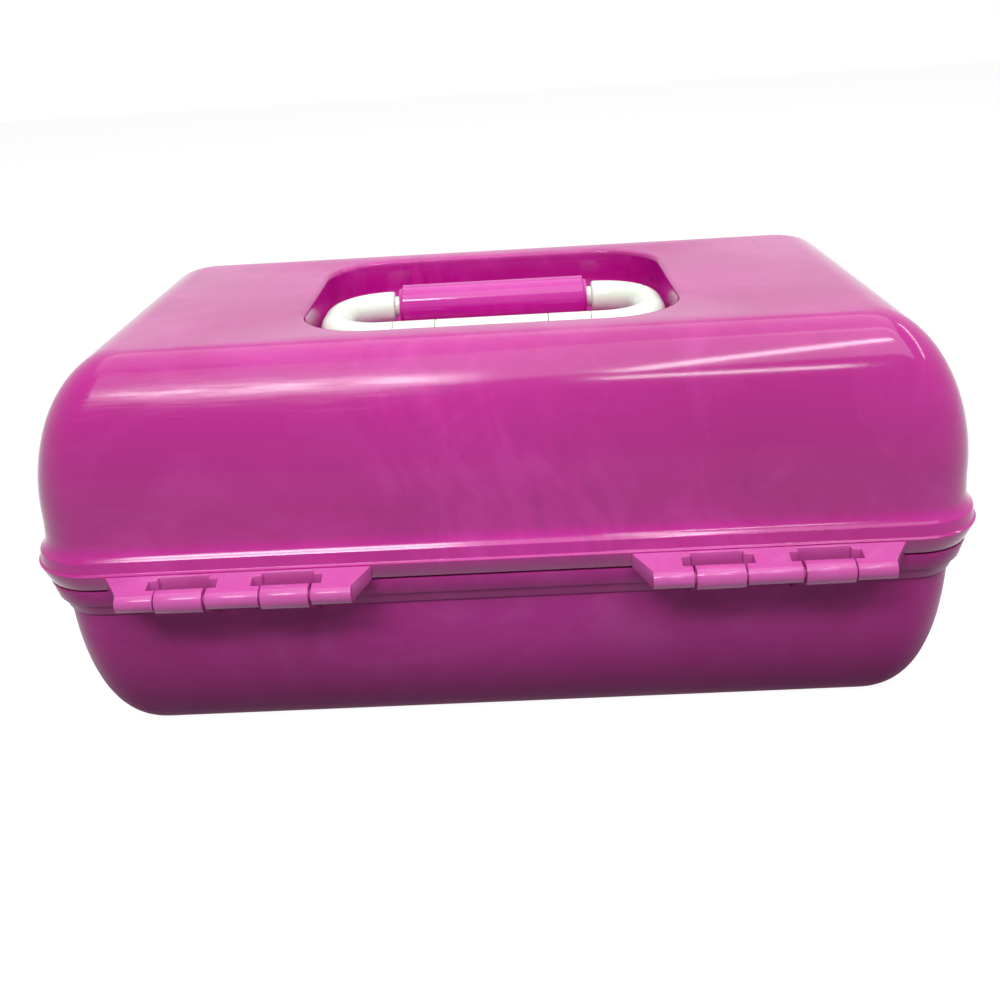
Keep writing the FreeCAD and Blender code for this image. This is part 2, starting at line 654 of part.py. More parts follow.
# hinge brackets: a sloping plate with a round outer edge, a window for each base hook, side
# notches next to the windows, and the moulded pin that runs through them
bracket_length = size.bracket_rod_end - size.bracket_rod_start + 2 * size.bracket_spread
rod_length = size.bracket_rod_end - size.bracket_rod_start
bracket_outline = [
    (half_depth - 2.4, lid_bottom + size.rim_band - size.bracket_root),
    (hinge_back, size.hinge_height - size.rod_radius),
    (hinge_back, size.hinge_height + size.rod_radius),
    (half_depth - 0.5, widest),
    (half_depth - 2.4, widest),
]
first = size.bracket_rod_start - size.bracket_spread
last = size.bracket_rod_end + size.bracket_spread
beyond = hinge_back + size.rod_radius + 1
cut_height = size.rim_band * 4
notch_back = hinge_back - size.rod_radius / 2
notch_front = notch_back - size.notch_length
wedges, windows = [], []
for label, side in SIDES:
    plate = outline(lid, f"bracket_{label}", "YZ_Plane", span(side, first, last), bracket_outline)
    pad(lid, plate, bracket_length)
    for root, tip, outward in ((first, size.bracket_rod_start, -1), (last, size.bracket_rod_end, 1)):
        clear = root + outward
        wedges.append([
            (root * side, half_depth + 0.2),
            (tip * side, hinge_back),
            (tip * side, beyond),
            (clear * side, beyond),
            (clear * side, half_depth + 0.2),
        ])
    for middle in hook_middles:
        half_window = size.hook_width / 2 + size.hook_gap
        half_notch = half_window + size.notch_width
        left, right = middle * side - half_window, middle * side + half_window
        notch_left, notch_right = middle * side - half_notch, middle * side + half_notch
        windows.append([
            (left, half_depth + 0.6),
            (right, half_depth + 0.6),
            (right, notch_front),
            (notch_right, notch_front),
            (notch_right, notch_back),
            (right, notch_back),
            (right, beyond),
            (left, beyond),
            (left, notch_back),
            (notch_left, notch_back),
            (notch_left, notch_front),
            (left, notch_front),
        ])
pocket(lid, outlines(lid, "bracket_ends", "XY_Plane", widest + 1, wedges), cut_height)
for label, side in SIDES:
    rod_start = span(side, size.bracket_rod_start, size.bracket_rod_end)
    rod = circles(lid, f"rod_{label}", "YZ_Plane", rod_start, [(*hinge_axis, size.rod_radius)])
    pad(lid, rod, rod_length)
pocket(lid, outlines(lid, "hook_windows", "XY_Plane", widest + 1, windows), cut_height)
for label, side in SIDES:
    rod_start = span(side, size.bracket_rod_start, size.bracket_rod_end)
    pin = circles(lid, f"pin_{label}", "YZ_Plane", rod_start, [(*hinge_axis, size.pin_radius)])
    pad(lid, pin, rod_length)

# posts for the mirror screws, holes for the clamp screws
mirror_back = size.case_height - size.mirror_drop
post_places = [(across * size.mirror_post, back * size.mirror_post_back)
               for across in (-1, 1) for back in (-1, 1)]
post_length = size.case_height - skin - mirror_back
mirror_pilot = size.mirror_screw_radius + size.screw_play
post_radius = mirror_pilot + size.mirror_post_wall
posts = circles(lid, "mirror_posts", "XY_Plane", mirror_back, [(x, y, post_radius) for x, y in post_places])
pad(lid, posts, post_length)
pilots = circles(lid, "mirror_pilots", "XY_Plane", mirror_back, [(x, y, mirror_pilot) for x, y in post_places])
pocket(lid, pilots, size.mirror_pilot_depth, reverse=True)
screw_places = [(across * size.clamp_middle, pivot_back + back * size.clamp_screw_spread)
                for across in (-1, 1) for back in (-1, 1)]
floor_under = well_floor - size.shell_wall
clamp_hole = size.clamp_screw_radius + size.clamp_screw_room
holes = circles(lid, "clamp_holes", "XY_Plane", well_floor + 1, [(x, y, clamp_hole) for x, y in screw_places])
pocket(lid, holes, size.shell_wall + 2)

# lugs for the latch pins, on the front of the rim
latch_axis = (latch_front, size.latch_height)
for label, side in SIDES:
    for end, outward in (("near", -1), ("far", 1)):
        gap_edge = size.latch_middle + outward * (size.latch_width / 2 + size.latch_side_gap)
        lug_edge = gap_edge + outward * size.lug_width
        low, high = sorted((gap_edge, lug_edge), key=lambda e: e.value)
        start = span(side, low, high)
        knuckle(lid, f"latch_lug_{label}_{end}", start, size.lug_width, [
            (skin - half_depth + 1, shelf - 0.6),
            (latch_front, size.latch_height - size.latch_barrel),
            (latch_front, size.latch_height + size.latch_barrel),
            (skin - half_depth + 1, bead_top + 1.8),
        ], latch_axis, size.latch_barrel)
lug_bore = circles(lid, "lug_bore", "YZ_Plane", 0, [(*latch_axis, size.latch_pin_radius)])
pocket(lid, lug_bore, size.case_width, midplane=True)

# lugs inside the two ends that carry the back of the tray
lid_pivot = (hinge_back - size.crank_length, size.hinge_height)
lid_lug_face = arm_face + size.lid_lug_gap
lid_lug_back = lid_lug_face + size.lid_lug_thickness
lid_end_wall = half_width - lid_inner_inset + skin
lug_root = size.flare_height + 6
for label, side in SIDES:
    start = span(side, lid_lug_face, lid_lug_back)
    knuckle(lid, f"tray_lug_{label}", start, lid_lug_back - lid_lug_face, [
        (lid_pivot[0] - size.ear_radius, size.hinge_height),
        (lid_pivot[0] + size.ear_radius, size.hinge_height),
        (lid_pivot[0] + size.ear_radius, lug_root),
        (lid_pivot[0] - size.ear_radius, lug_root),
    ], lid_pivot, size.ear_radius)
    start = span(side, lid_lug_back, lid_end_wall)
    web = rectangles(lid, f"tray_web_{label}", "YZ_Plane", start, [
        (lid_pivot[0] - size.ear_radius, lid_pivot[0] + size.ear_radius, widest + 2, lug_root)])
    pad(lid, web, lid_end_wall - lid_lug_back)
lug_hole = circles(lid, "tray_lug_hole", "YZ_Plane", 0, [(*lid_pivot, size.stud_radius)])
pocket(lid, lug_hole, 2 * lid_lug_back + 1, midplane=True)

# ---------------------------------------------------------------- carrying ring and its clamps

ring = new_body("handle_ring")
ring_half_x = size.ring_width / 2 - ring_radius
ring_half_y = size.ring_reach / 2 - ring_radius
ring_middle = pivot_back - ring_half_y
path = rounded_rectangle(ring, "ring_path", ring_height, ring_half_x, ring_half_y, size.ring_bend,
                         middle_y=ring_middle)
section = circles(ring, "ring_section", "XZ_Plane", size.ring_bend - ring_half_y - ring_middle,
                  [(ring_half_x, ring_height, ring_radius)])
sweep(ring, section, path)

neck_length = size.clamp_width + 2 * size.clamp_gap


def groove_outline(left, right, axis, toward, shoulder, bulge):
    """The ring of material turned off a bar, as a half section beside its axis."""
    deep = axis + toward * size.neck_radius
    edge = axis + toward * (ring_radius - shoulder)
    surface = axis + toward * ring_radius
    clear = axis + toward * (ring_radius + 1)
    return [
        (left, deep),
        (right, deep),
        (right, edge, *bulge),
        (right + shoulder, surface),
        (right + shoulder, clear),
        (left - shoulder, clear),
        (left - shoulder, surface, *bulge),
        (left, edge),
    ]


def bar_groove(name, axis, toward, stretches, shoulder, bulge):
    """Necks turned into a bar; the shoulders are rounded where a bulge is given, else chamfered."""
    loops = [groove_outline(left, right, axis, toward, shoulder, bulge) for left, right in stretches]
    sketch = outlines(ring, name, "XY_Plane", ring_height, loops)
    line = sketch.addGeometry(Part.LineSegment(FreeCAD.Vector(-10, axis.value, 0),
                                               FreeCAD.Vector(10, axis.value, 0)), True)
    fix_point(sketch, line, 1, as_size(-10), axis)
    fix_point(sketch, line, 2, as_size(10), axis)
    turn(ring, "Groove", sketch, "Axis0")


neck_edges = (size.clamp_middle - neck_length / 2, size.clamp_middle + neck_length / 2)
bar_groove("necks", pivot_back, -1, [neck_edges, (-neck_edges[1], -neck_edges[0])], size.neck_chamfer, ())
bar_groove("spindle", grip_back, 1, [(-size.spindle_length / 2, size.spindle_length / 2)],
           size.shoulder_round, (size.shoulder_round,))

clamp_bore = size.neck_radius + size.pin_clearance
for label, side in SIDES:
    clamp = new_body(f"handle_clamp_{label}")
    start = span(side, size.clamp_middle - size.clamp_width / 2, size.clamp_middle + size.clamp_width / 2)
    foot_half = size.clamp_foot / 2
    foot = outline(clamp, "foot", "YZ_Plane", start, [
        (pivot_back - foot_half, well_floor),
        (pivot_back + foot_half, well_floor),
        (pivot_back + foot_half, well_floor + size.clamp_foot_height - size.clamp_bevel),
        (pivot_back + foot_half - size.clamp_bevel, well_floor + size.clamp_foot_height),
        (pivot_back - foot_half + size.clamp_bevel, well_floor + size.clamp_foot_height),
        (pivot_back - foot_half, well_floor + size.clamp_foot_height - size.clamp_bevel),
    ])
    pad(clamp, foot, size.clamp_width)
    saddle = circles(clamp, "saddle", "YZ_Plane", start, [(pivot_back, ring_height, ring_radius)])
    pad(clamp, saddle, size.clamp_width)
    bore = circles(clamp, "bore", "YZ_Plane", start, [(pivot_back, ring_height, clamp_bore)])
    pocket(clamp, bore, size.clamp_width, reverse=True)
    slot = rectangles(clamp, "slot", "YZ_Plane", start, [
        (pivot_back - clamp_bore, pivot_back + clamp_bore, well_floor - 1, ring_height)])
    pocket(clamp, slot, size.clamp_width, reverse=True)
    clamp_pilot = size.clamp_screw_radius + size.screw_play
    places = [(x, y, clamp_pilot) for x, y in screw_places if x.value * side > 0]
    pilots = circles(clamp, "screw_pilots", "XY_Plane", well_floor, places)
    pocket(clamp, pilots, size.clamp_foot_height - size.clamp_screw_cover / 2, reverse=True)


def screws(label, places, head_top, shank_radius, shank_length, head_radius, head_height):
    """Identical screws driven upwards, heads below."""
    body = new_body(label)
    shanks = circles(body, "shanks", "XY_Plane", head_top, [(x, y, shank_radius) for x, y in places])
    pad(body, shanks, shank_length)
    heads = circles(body, "heads", "XY_Plane", head_top, [(x, y, head_radius) for x, y in places])
    pad(body, heads, head_height, reverse=True)


screws("clamp_screws", screw_places, floor_under, size.clamp_screw_radius,
       size.shell_wall + size.clamp_foot_height - size.clamp_screw_cover,
       size.clamp_screw_head, size.clamp_head_height)

# ---------------------------------------------------------------- grip sleeve, two halves

grip_bore = size.neck_radius + size.grip_clearance
for label, reverse in (("upper", False), ("lower", True)):
    grip = new_body(f"grip_half_{label}")
    end = size.grip_length / 2
    inner, outer = grip_back + grip_bore, grip_back + size.grip_radius
    section = outline(grip, "half_section", "XY_Plane", ring_height, [
        (-end, inner),
        (end, inner),
        (end, outer - size.grip_round, size.grip_round),
        (end - size.grip_round, outer),
        (size.grip_round - end, outer, size.grip_round),
        (-end, outer - size.grip_round),
    ])
    line = section.addGeometry(Part.LineSegment(FreeCAD.Vector(-10, grip_back.value, 0),
                                                FreeCAD.Vector(10, grip_back.value, 0)), True)
    fix_point(section, line, 1, as_size(-10), grip_back)
    fix_point(section, line, 2, as_size(10), grip_back)
    feature = turn(grip, "Revolution", section, "Axis0")
    feature.Angle = 180
    feature.Reversed = reverse
    doc.recompute()

# ---------------------------------------------------------------- lid mirror

frame = new_body("mirror_frame")
frame_bottom = mirror_back - size.mirror_thickness
half_x, half_y = size.mirror_width / 2, size.mirror_depth / 2
outer = rounded_rectangle(frame, "frame_outer", frame_bottom, half_x, half_y, size.mirror_corner)
pad(frame, outer, size.mirror_thickness)
open_x, open_y = half_x - size.mirror_border, half_y - size.mirror_border
window_corner = size.mirror_corner / 2
opening = rounded_rectangle(frame, "frame_opening", frame_bottom, open_x, open_y, window_corner)
pocket(frame, opening, size.mirror_thickness, reverse=True)
rebate_x, rebate_y = open_x + size.mirror_rebate, open_y + size.mirror_rebate
glass_bottom = frame_bottom + size.mirror_lip
rebate = rounded_rectangle(frame, "glass_rebate", glass_bottom, rebate_x, rebate_y, window_corner)
pocket(frame, rebate, size.mirror_thickness, reverse=True)
frame_hole = size.mirror_screw_radius + size.mirror_screw_room
frame_holes = circles(frame, "frame_holes", "XY_Plane", frame_bottom, [(x, y, frame_hole) for x, y in post_places])
pocket(frame, frame_holes, size.mirror_thickness, reverse=True)
sink = size.mirror_screw_head + size.mirror_sink_room
sinks = circles(frame, "screw_sinks", "XY_Plane", frame_bottom, [(x, y, sink) for x, y in post_places])
pocket(frame, sinks, size.mirror_sink_depth, reverse=True)

glass = new_body("mirror_glass")
play = size.glass_play
pane = rounded_rectangle(glass, "pane", glass_bottom, rebate_x - play, rebate_y - play, window_corner - play)
pad(glass, pane, size.glass_thickness)
screws("mirror_screws", post_places, frame_bottom + size.mirror_sink_depth, size.mirror_screw_radius,
       size.mirror_thickness + size.mirror_screw_bite, size.mirror_screw_head, size.mirror_head_height)

# ---------------------------------------------------------------- front latches

inner_face = latch_front + size.latch_barrel - 0.6
outer_face = inner_face - size.latch_thickness
catch_top = size.keeper_height - size.catch_gap
for label, side in SIDES:
    latch = new_body(f"latch_{label}")
    start = span(side, size.latch_middle - size.latch_width / 2, size.latch_middle + size.latch_width / 2)
    knuckle(latch, "plate", start, size.latch_width, [
        (inner_face, size.latch_height),
        (outer_face - 0.6, size.latch_height),
        (outer_face - 1.4, catch_top + 6, -30),
        (outer_face, catch_top - 3),
        (outer_face - 2.4, catch_top - 9),
        (outer_face - 0.2, catch_top - 9),
        (inner_face, catch_top - 2.4),
        (keeper_front + 2.0, catch_top - 2.4),
        (keeper_front + 2.6, catch_top - 1.6),
        (keeper_front + 2.6, catch_top),
        (inner_face, catch_top),
    ], latch_axis, size.latch_barrel)
    bore = circles(latch, "bore", "YZ_Plane", start, [(*latch_axis, size.latch_pin_radius + size.latch_play)])
    pocket(latch, bore, size.latch_width, reverse=True)
    reach = size.latch_width / 2 + size.latch_side_gap + size.lug_width
    pin = new_body(f"latch_pin_{label}")
    start = span(side, size.latch_middle - reach, size.latch_middle + reach)
    rod = circles(pin, "rod", "YZ_Plane", start, [(*latch_axis, size.latch_pin_radius)])
    pad(pin, rod, reach * 2)

# ---------------------------------------------------------------- tray, arms and studs

tray = new_body("tray")
tray_half_depth = (size.tray_front + size.tray_back) / 2
tray_middle = (size.tray_back - size.tray_front) / 2
lean = size.tray_lean
tray_outside = [
    rounded_rectangle(tray, "tray_foot", size.tray_floor_height, tray_half_width - lean / 3,
                      tray_half_depth - lean, size.tray_corner, middle_y=tray_middle),
    rounded_rectangle(tray, "tray_rim", size.tray_rim_height, tray_half_width,
                      tray_half_depth, size.tray_corner, middle_y=tray_middle),
]
loft(tray, "AdditiveLoft", tray_outside, ruled=True)

wall = size.tray_wall
left_edge = wall + lean / 3 - tray_half_width
front_edge = lean + wall - size.tray_front
back_edge = size.tray_back - lean - wall
row_split = tray_middle - size.tray_row_offset
columns = 4
column = (-left_edge * 2 - wall * (columns - 1)) / columns
cells = []
for index in range(columns):
    left = left_edge + (column + wall) * index
    cells.append((left, left + column, row_split + wall, back_edge))
brush_end = left_edge + column * 3 + wall * 2
cells.append((left_edge, brush_end, front_edge, row_split))
cells.append((brush_end + wall, -left_edge, front_edge, row_split))
pockets = rectangles(tray, "cells", "XY_Plane", size.tray_rim_height, cells)
pocket(tray, pockets, size.tray_rim_height - size.tray_floor_height - wall)

tray_pivot = (size.arm_pivot_back - size.crank_length, size.arm_pivot_height)
ear_half = size.ear_radius
ear_face = -left_edge
spacer = arm_face - size.side_play - tray_half_width
for label, side in SIDES:
    start = span(side, ear_face, tray_half_width)
    knuckle(tray, f"ear_{label}", start, tray_half_width - ear_face, [
        (lid_pivot[0] - ear_half - 3, size.tray_rim_height - 4),
        (lid_pivot[0] + ear_half + 3, size.tray_rim_height - 4),
        (lid_pivot[0] + ear_half, size.hinge_height),
        (lid_pivot[0] - ear_half, size.hinge_height),
    ], lid_pivot, ear_half)
    start = span(side, tray_half_width - 1, tray_half_width + spacer)
    boss = circles(tray, f"pivot_boss_{label}", "YZ_Plane", start, [(*tray_pivot, size.tray_boss_radius)])
    pad(tray, boss, spacer + 1)
ear_hole = circles(tray, "ear_hole", "YZ_Plane", 0,
                   [(*lid_pivot, size.stud_radius + size.open_pivot_play)])
pocket(tray, ear_hole, size.case_width, midplane=True)
for label, side in SIDES:
    start = span(side, tray_half_width - wall * 2, tray_half_width + spacer)
    hole = circles(tray, f"pivot_hole_{label}", "YZ_Plane", start, [(*tray_pivot, size.stud_radius)])
    pocket(tray, hole, spacer + wall * 2, reverse=True)

for label, side in SIDES:
    arm = new_body(f"tray_arm_{label}")
    start = span(side, arm_face, arm_face + size.arm_thickness)
    bar = rectangles(arm, "bar", "YZ_Plane", start, [
        (tray_pivot[0], arm_pivot[0], size.arm_pivot_height - size.arm_radius,
         size.arm_pivot_height + size.arm_radius)])
    pad(arm, bar, size.arm_thickness)
    for end, place in (("tray", tray_pivot), ("base", arm_pivot)):
        eye = circles(arm, f"eye_{end}", "YZ_Plane", start, [(*place, size.arm_radius)])
        pad(arm, eye, size.arm_thickness)
    holes = circles(arm, "holes", "YZ_Plane", start, [
        (*tray_pivot, size.stud_radius + size.stud_play),
        (*arm_pivot, size.stud_radius + size.stud_play)])
    pocket(arm, holes, size.arm_thickness, reverse=True)


def studs(label, place, near, far, head_near, head_far):
    """A pair of headed studs, one at each end of the case, between two distances."""
    body = new_body(label)
    for name, side in SIDES:
        start = span(side, near, far)
        shank = circles(body, f"shank_{name}", "YZ_Plane", start, [(*place, size.stud_radius)])
        pad(body, shank, far - near)
        start = span(side, head_near, head_far)
        head = circles(body, f"head_{name}", "YZ_Plane", start, [(*place, size.stud_head_radius)])
        pad(body, head, head_far - head_near)


arm_inside = arm_face - size.side_play
studs("base_pivot_studs", arm_pivot, arm_inside, boss_face + hole_depth, arm_inside - size.stud_head,
      arm_inside)
studs("tray_pivot_studs", tray_pivot, tray_half_width - wall, boss_face, boss_face,
      boss_face + size.stud_head)
ear_inside = ear_face - size.side_play
studs("lid_pivot_studs", lid_pivot, ear_inside, lid_lug_back, ear_inside - size.stud_head, ear_inside)

# ---------------------------------------------------------------- checks and export

doc.recompute()
os.makedirs("parts", exist_ok=True)
faults = [item.Name for item in doc.Objects if "Invalid" in item.State or "Error" in item.State]
bodies = [item for item in doc.Objects if item.TypeId == "PartDesign::Body"]
faults += [body.Label for body in bodies if body.Shape.isNull() or not body.Shape.isValid()]
if faults:
    raise RuntimeError("failed: " + ", ".join(faults))
for body in bodies:
    body.Shape.exportStep(f"parts/{body.Label}.step")
    box = body.Shape.BoundBox
    print(f"{body.Label}: {len(body.Shape.Solids)} solids, {body.Shape.Volume / 1000:.1f} cm3, "
          f"{box.XLength:.1f} x {box.YLength:.1f} x {box.ZLength:.1f} mm")
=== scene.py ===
import math

import bmesh
import bpy
from mathutils import Matrix, Vector


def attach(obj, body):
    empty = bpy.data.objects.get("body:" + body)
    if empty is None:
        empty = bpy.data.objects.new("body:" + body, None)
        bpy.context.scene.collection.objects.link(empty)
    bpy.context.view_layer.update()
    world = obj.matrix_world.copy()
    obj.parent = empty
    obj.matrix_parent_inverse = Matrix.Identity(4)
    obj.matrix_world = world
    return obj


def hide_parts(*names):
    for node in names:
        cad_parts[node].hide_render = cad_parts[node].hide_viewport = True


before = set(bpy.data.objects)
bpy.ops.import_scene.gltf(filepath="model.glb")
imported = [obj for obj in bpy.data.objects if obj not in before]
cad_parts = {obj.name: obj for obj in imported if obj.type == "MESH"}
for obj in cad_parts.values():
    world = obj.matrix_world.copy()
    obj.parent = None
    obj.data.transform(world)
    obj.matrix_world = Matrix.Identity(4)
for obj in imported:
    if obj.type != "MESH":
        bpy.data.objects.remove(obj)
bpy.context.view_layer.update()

# ---------------------------------------------------------------- camera
# A short lens held a little above the hinge side of the case, tipped down on to the lid.
camera_data = bpy.data.cameras.new("hinge_side_camera")
camera_data.sensor_width = 36
camera_data.lens = 38.769
camera_data.shift_x = 0.0122
camera_data.shift_y = -0.0457
camera = bpy.data.objects.new("hinge_side_camera", camera_data)
camera.location = (-0.009217, 0.400582, 0.237023)
camera.rotation_euler = [math.radians(turn) for turn in (67.44, 3.36, -179.319)]
bpy.context.scene.collection.objects.link(camera)
bpy.context.scene.camera = camera

# ---------------------------------------------------------------- bench and white room
# A plain pale bench top under the case, in front of a white room. Both look white to the lens,
# and the bench still takes the shadow of the case.


class Shade:
    """One socket in a finish's nodes. Sums, products and comparisons of it add Math nodes."""

    def __init__(self, tree, socket=None):
        self.tree = tree
        self.socket = socket

    def make(self, kind, settings=(), inputs=(), output=0):
        """Adds a node: its settings first, then the values or links of its sockets."""
        node = self.tree.nodes.new(kind)
        for name, value in dict(settings).items():
            setattr(node, name, value)
        open_sockets = [socket for socket in node.inputs if socket.enabled]
        for name, value in dict(inputs).items():
            if isinstance(name, int):
                target = open_sockets[name]
            else:
                target = next(socket for socket in open_sockets if socket.name == name)
            if isinstance(value, Shade):
                self.tree.links.new(value.socket, target)
            else:
                target.default_value = value
        results = [socket for socket in node.outputs if socket.enabled]
        if isinstance(output, str):
            return Shade(self.tree, node.outputs[output])
        return Shade(self.tree, results[output] if results else None)

    def math(self, operation, first, second=0.0):
        return self.make("ShaderNodeMath", {"operation": operation}, {0: first, 1: second})

    def __add__(self, other):
        return self.math("ADD", self, other)

    def __sub__(self, other):
        return self.math("SUBTRACT", self, other)

    def __rsub__(self, other):
        return self.math("SUBTRACT", other, self)

    def __mul__(self, other):
        return self.math("MULTIPLY", self, other)

    def __gt__(self, other):
        return self.math("GREATER_THAN", self, other)

    __radd__ = __add__
    __rmul__ = __mul__

    def between(self, low, high):
        """0 below low, 1 above high and a smooth slope between them."""
        return self.make("ShaderNodeMapRange", {"interpolation_type": "SMOOTHSTEP"},
                         {"Value": self, "From Min": low, "From Max": high})

    def mix(self, first, second):
        """From the first colour where this is 0 to the second where it is 1."""
        return self.make("ShaderNodeMix", {"data_type": "RGBA"},
                         {"Factor": self, "A": first, "B": second})


def new_finish(name):
    """An empty finish, and the place on the part that its patterns read."""
    finish = bpy.data.materials.new(name)
    finish.use_nodes = True
    finish.node_tree.nodes.clear()
    nodes = Shade(finish.node_tree)
    return finish, nodes.make("ShaderNodeTexCoord", output="Object")


def seen_white(nodes):
    """Above 0 for what is seen straight, by a gloss or through a clear piece, else 0."""
    return (nodes.make("ShaderNodeLightPath", output="Is Camera Ray")
            + nodes.make("ShaderNodeLightPath", output="Is Glossy Ray")
            + nodes.make("ShaderNodeLightPath", output="Is Transmission Ray"))


BENCH_HALF = 3.0

bench_finish, place = new_finish("bench_paint")
mottle = place.make("ShaderNodeTexNoise", (), {"Vector": place, "Scale": 30, "Detail": 3})
bench_colour = mottle.mix((0.13, 0.126, 0.128, 1), (0.155, 0.15, 0.153, 1))
lit_bench = place.make("ShaderNodeBsdfDiffuse", (), {"Color": bench_colour})
seen_bench = place.make("ShaderNodeEmission", (), {"Color": (1, 1, 1, 1), "Strength": 0.94})
bench_glow = place.make("ShaderNodeAddShader", (), {0: lit_bench, 1: seen_bench})
bench_surface = place.make("ShaderNodeMixShader", (),
                           {0: seen_white(place), 1: lit_bench, 2: bench_glow})
place.make("ShaderNodeOutputMaterial", (), {"Surface": bench_surface})

mesh = bmesh.new()
bmesh.ops.create_grid(mesh, x_segments=1, y_segments=1, size=BENCH_HALF)
bench_mesh = bpy.data.meshes.new("bench_top")
mesh.to_mesh(bench_mesh)
mesh.free()
bench_mesh.materials.append(bench_finish)
bench = bpy.data.objects.new("bench_top", bench_mesh)
bpy.context.scene.collection.objects.link(bench)

room = bpy.data.worlds.new("white_room")
room.use_nodes = True
room.node_tree.nodes.clear()
bpy.context.scene.world = room
air = Shade(room.node_tree)
room_light = air.make("ShaderNodeBackground", (), {"Color": (1, 1, 1, 1), "Strength": 0.16})
room_seen = air.make("ShaderNodeBackground", (), {"Color": (1, 1, 1, 1), "Strength": 1.0})
room_mix = air.make("ShaderNodeMixShader", (), {0: seen_white(air), 1: room_light, 2: room_seen})
air.make("ShaderNodeOutputWorld", (), {"Surface": room_mix})

# ---------------------------------------------------------------- lamps
# Two wide soft panels, one over and beyond the case and one high behind the camera. A short
# panel and two thin tubes behind the camera, and a longer tube off to its right, draw the long
# shines on the back shoulder.
TUBE_HEIGHT = 1.0


def rectangle_lamp(name, length, width, power, spot, turn):
    """A flat rectangular lamp at a spot. Unturned, it shines straight down."""
    lamp_data = bpy.data.lights.new(name, "AREA")
    lamp_data.shape = "RECTANGLE"
    lamp_data.size, lamp_data.size_y = length, width
    lamp_data.energy = power
    lamp = bpy.data.objects.new(name, lamp_data)
    lamp.location = spot
    lamp.rotation_euler = turn
    bpy.context.scene.collection.objects.link(lamp)


for name, spot, target, length, width, power in (
        ("overhead_panel", (0.0, -0.5, 1.6), (0, -0.3, 0.0), 2.4, 1.5, 16.5),
        ("camera_side_panel", (-0.2, 0.8, 1.7), (0, 0, 0.08), 2.4, 1.2, 22.5)):
    aim = (Vector(target) - Vector(spot)).to_track_quat("-Z", "Y").to_euler()
    rectangle_lamp(name, length, width, power, spot, aim)
for name, start, end, width, power in (
        ("left_panel", (0.64, 0.87), (0.10, 0.85), 0.20, 7.5),
        ("near_tube", (-0.15, 1.09), (-0.60, 1.10), 0.06, 2.0),
        ("far_tube", (-0.17, 0.92), (-0.50, 0.42), 0.06, 2.2),
        ("side_tube", (-0.98, -0.57), (-1.55, 0.28), 0.09, 3.5)):
    run = Vector(end) - Vector(start)
    middle = (Vector(start) + Vector(end)) / 2
    rectangle_lamp(name, run.length, width, power, (*middle, TUBE_HEIGHT),
                   (0, 0, math.atan2(run.y, run.x)))

# ---------------------------------------------------------------- lid shell
# The domed lid, one moulding of pink plastic with paler swirls in it: a well for the carrying
# ring, a rounded shoulder, a straight wall and a stepped rim. Drawn as plan sections from the
# floor of the well outwards, over the edge and back up the inside.
MM = 0.001
CORNER_POINTS = 13


def sine(degrees):
    return math.sin(math.radians(degrees))


def cosine(degrees):
    return math.cos(math.radians(degrees))


def plan_point(number, half_x, half_y, corner, height):
    """One point of a rounded rectangle, counted round its four corners."""
    quarter, step = divmod(number, CORNER_POINTS)
    turn = math.radians(90 * quarter + 90 * step / (CORNER_POINTS - 1))
    side, end = ((1, 1), (-1, 1), (-1, -1), (1, -1))[quarter]
    return Vector((side * (half_x - corner) + corner * math.cos(turn),
                   end * (half_y - corner) + corner * math.sin(turn), height)) * MM


def skin_over(sections):
    """A closed shell through plan sections; a section is its plan, height and edge rounding."""
    mesh = bmesh.new()
    number_of = mesh.verts.layers.int.new("number")
    ring_of = mesh.verts.layers.int.new("ring")
    ring = bmesh.ops.create_circle(mesh, segments=4 * CORNER_POINTS, radius=1)["verts"]
    for number, vert in enumerate(ring):
        vert[number_of] = number
        vert.co = plan_point(number, *sections[0][:4])
    edges = mesh.edges[:]
    bmesh.ops.contextual_create(mesh, geom=edges)
    for level, section in enumerate(sections[1:], 1):
        made = bmesh.ops.extrude_edge_only(mesh, edges=edges)["geom"]
        for vert in (part for part in made if isinstance(part, bmesh.types.BMVert)):
            vert[ring_of] = level
            vert.co = plan_point(vert[number_of], *section[:4])
        edges = [part for part in made
                 if isinstance(part, bmesh.types.BMEdge) and part.is_boundary]
    bmesh.ops.contextual_create(mesh, geom=edges)
    for level, section in enumerate(sections):
        if len(section) > 4:
            rim = [edge for edge in mesh.edges
                   if edge.verts[0][ring_of] == level and edge.verts[1][ring_of] == level]
            bmesh.ops.bevel(mesh, geom=rim, offset=section[4] * MM, segments=2, profile=0.5,
                            affect="EDGES", material=-1)
    bmesh.ops.recalc_face_normals(mesh, faces=mesh.faces[:])
    return mesh


def finish_piece(name, mesh, body, finish, nodes=(), smooth=32):
    """Makes a named piece of a mesh, rounds its shading, and seats it on its body."""
    data = bpy.data.meshes.new(name)
    mesh.to_mesh(data)
    mesh.free()
    data.polygons.foreach_set("use_smooth", [True] * len(data.polygons))
    data.set_sharp_from_angle(angle=math.radians(smooth))
    data.materials.append(finish)
    piece = bpy.data.objects.new(name, data)
    bpy.context.scene.collection.objects.link(piece)
    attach(piece, body)
    if nodes:
        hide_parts(*nodes)
    return piece


# The whole case in plan, and its wall. The shoulder runs in by its reach from the lid's side,
# along a superellipse, while its plan corner tightens from that of the wall to that of the top.
CASE_HALF_X, CASE_HALF_Y, CASE_HEIGHT, PLAN_CORNER = 160, 91, 140, 24
WALL = 2.4
LID_SIDE, LID_SIDE_CORNER, TOP_CORNER = 4.2, 19.8, 6.4
SHOULDER_REACH_X, SHOULDER_REACH_Y, SHOULDER_START, SHOULDER_EXPONENT = 31.6, 25.4, 87, 1.97

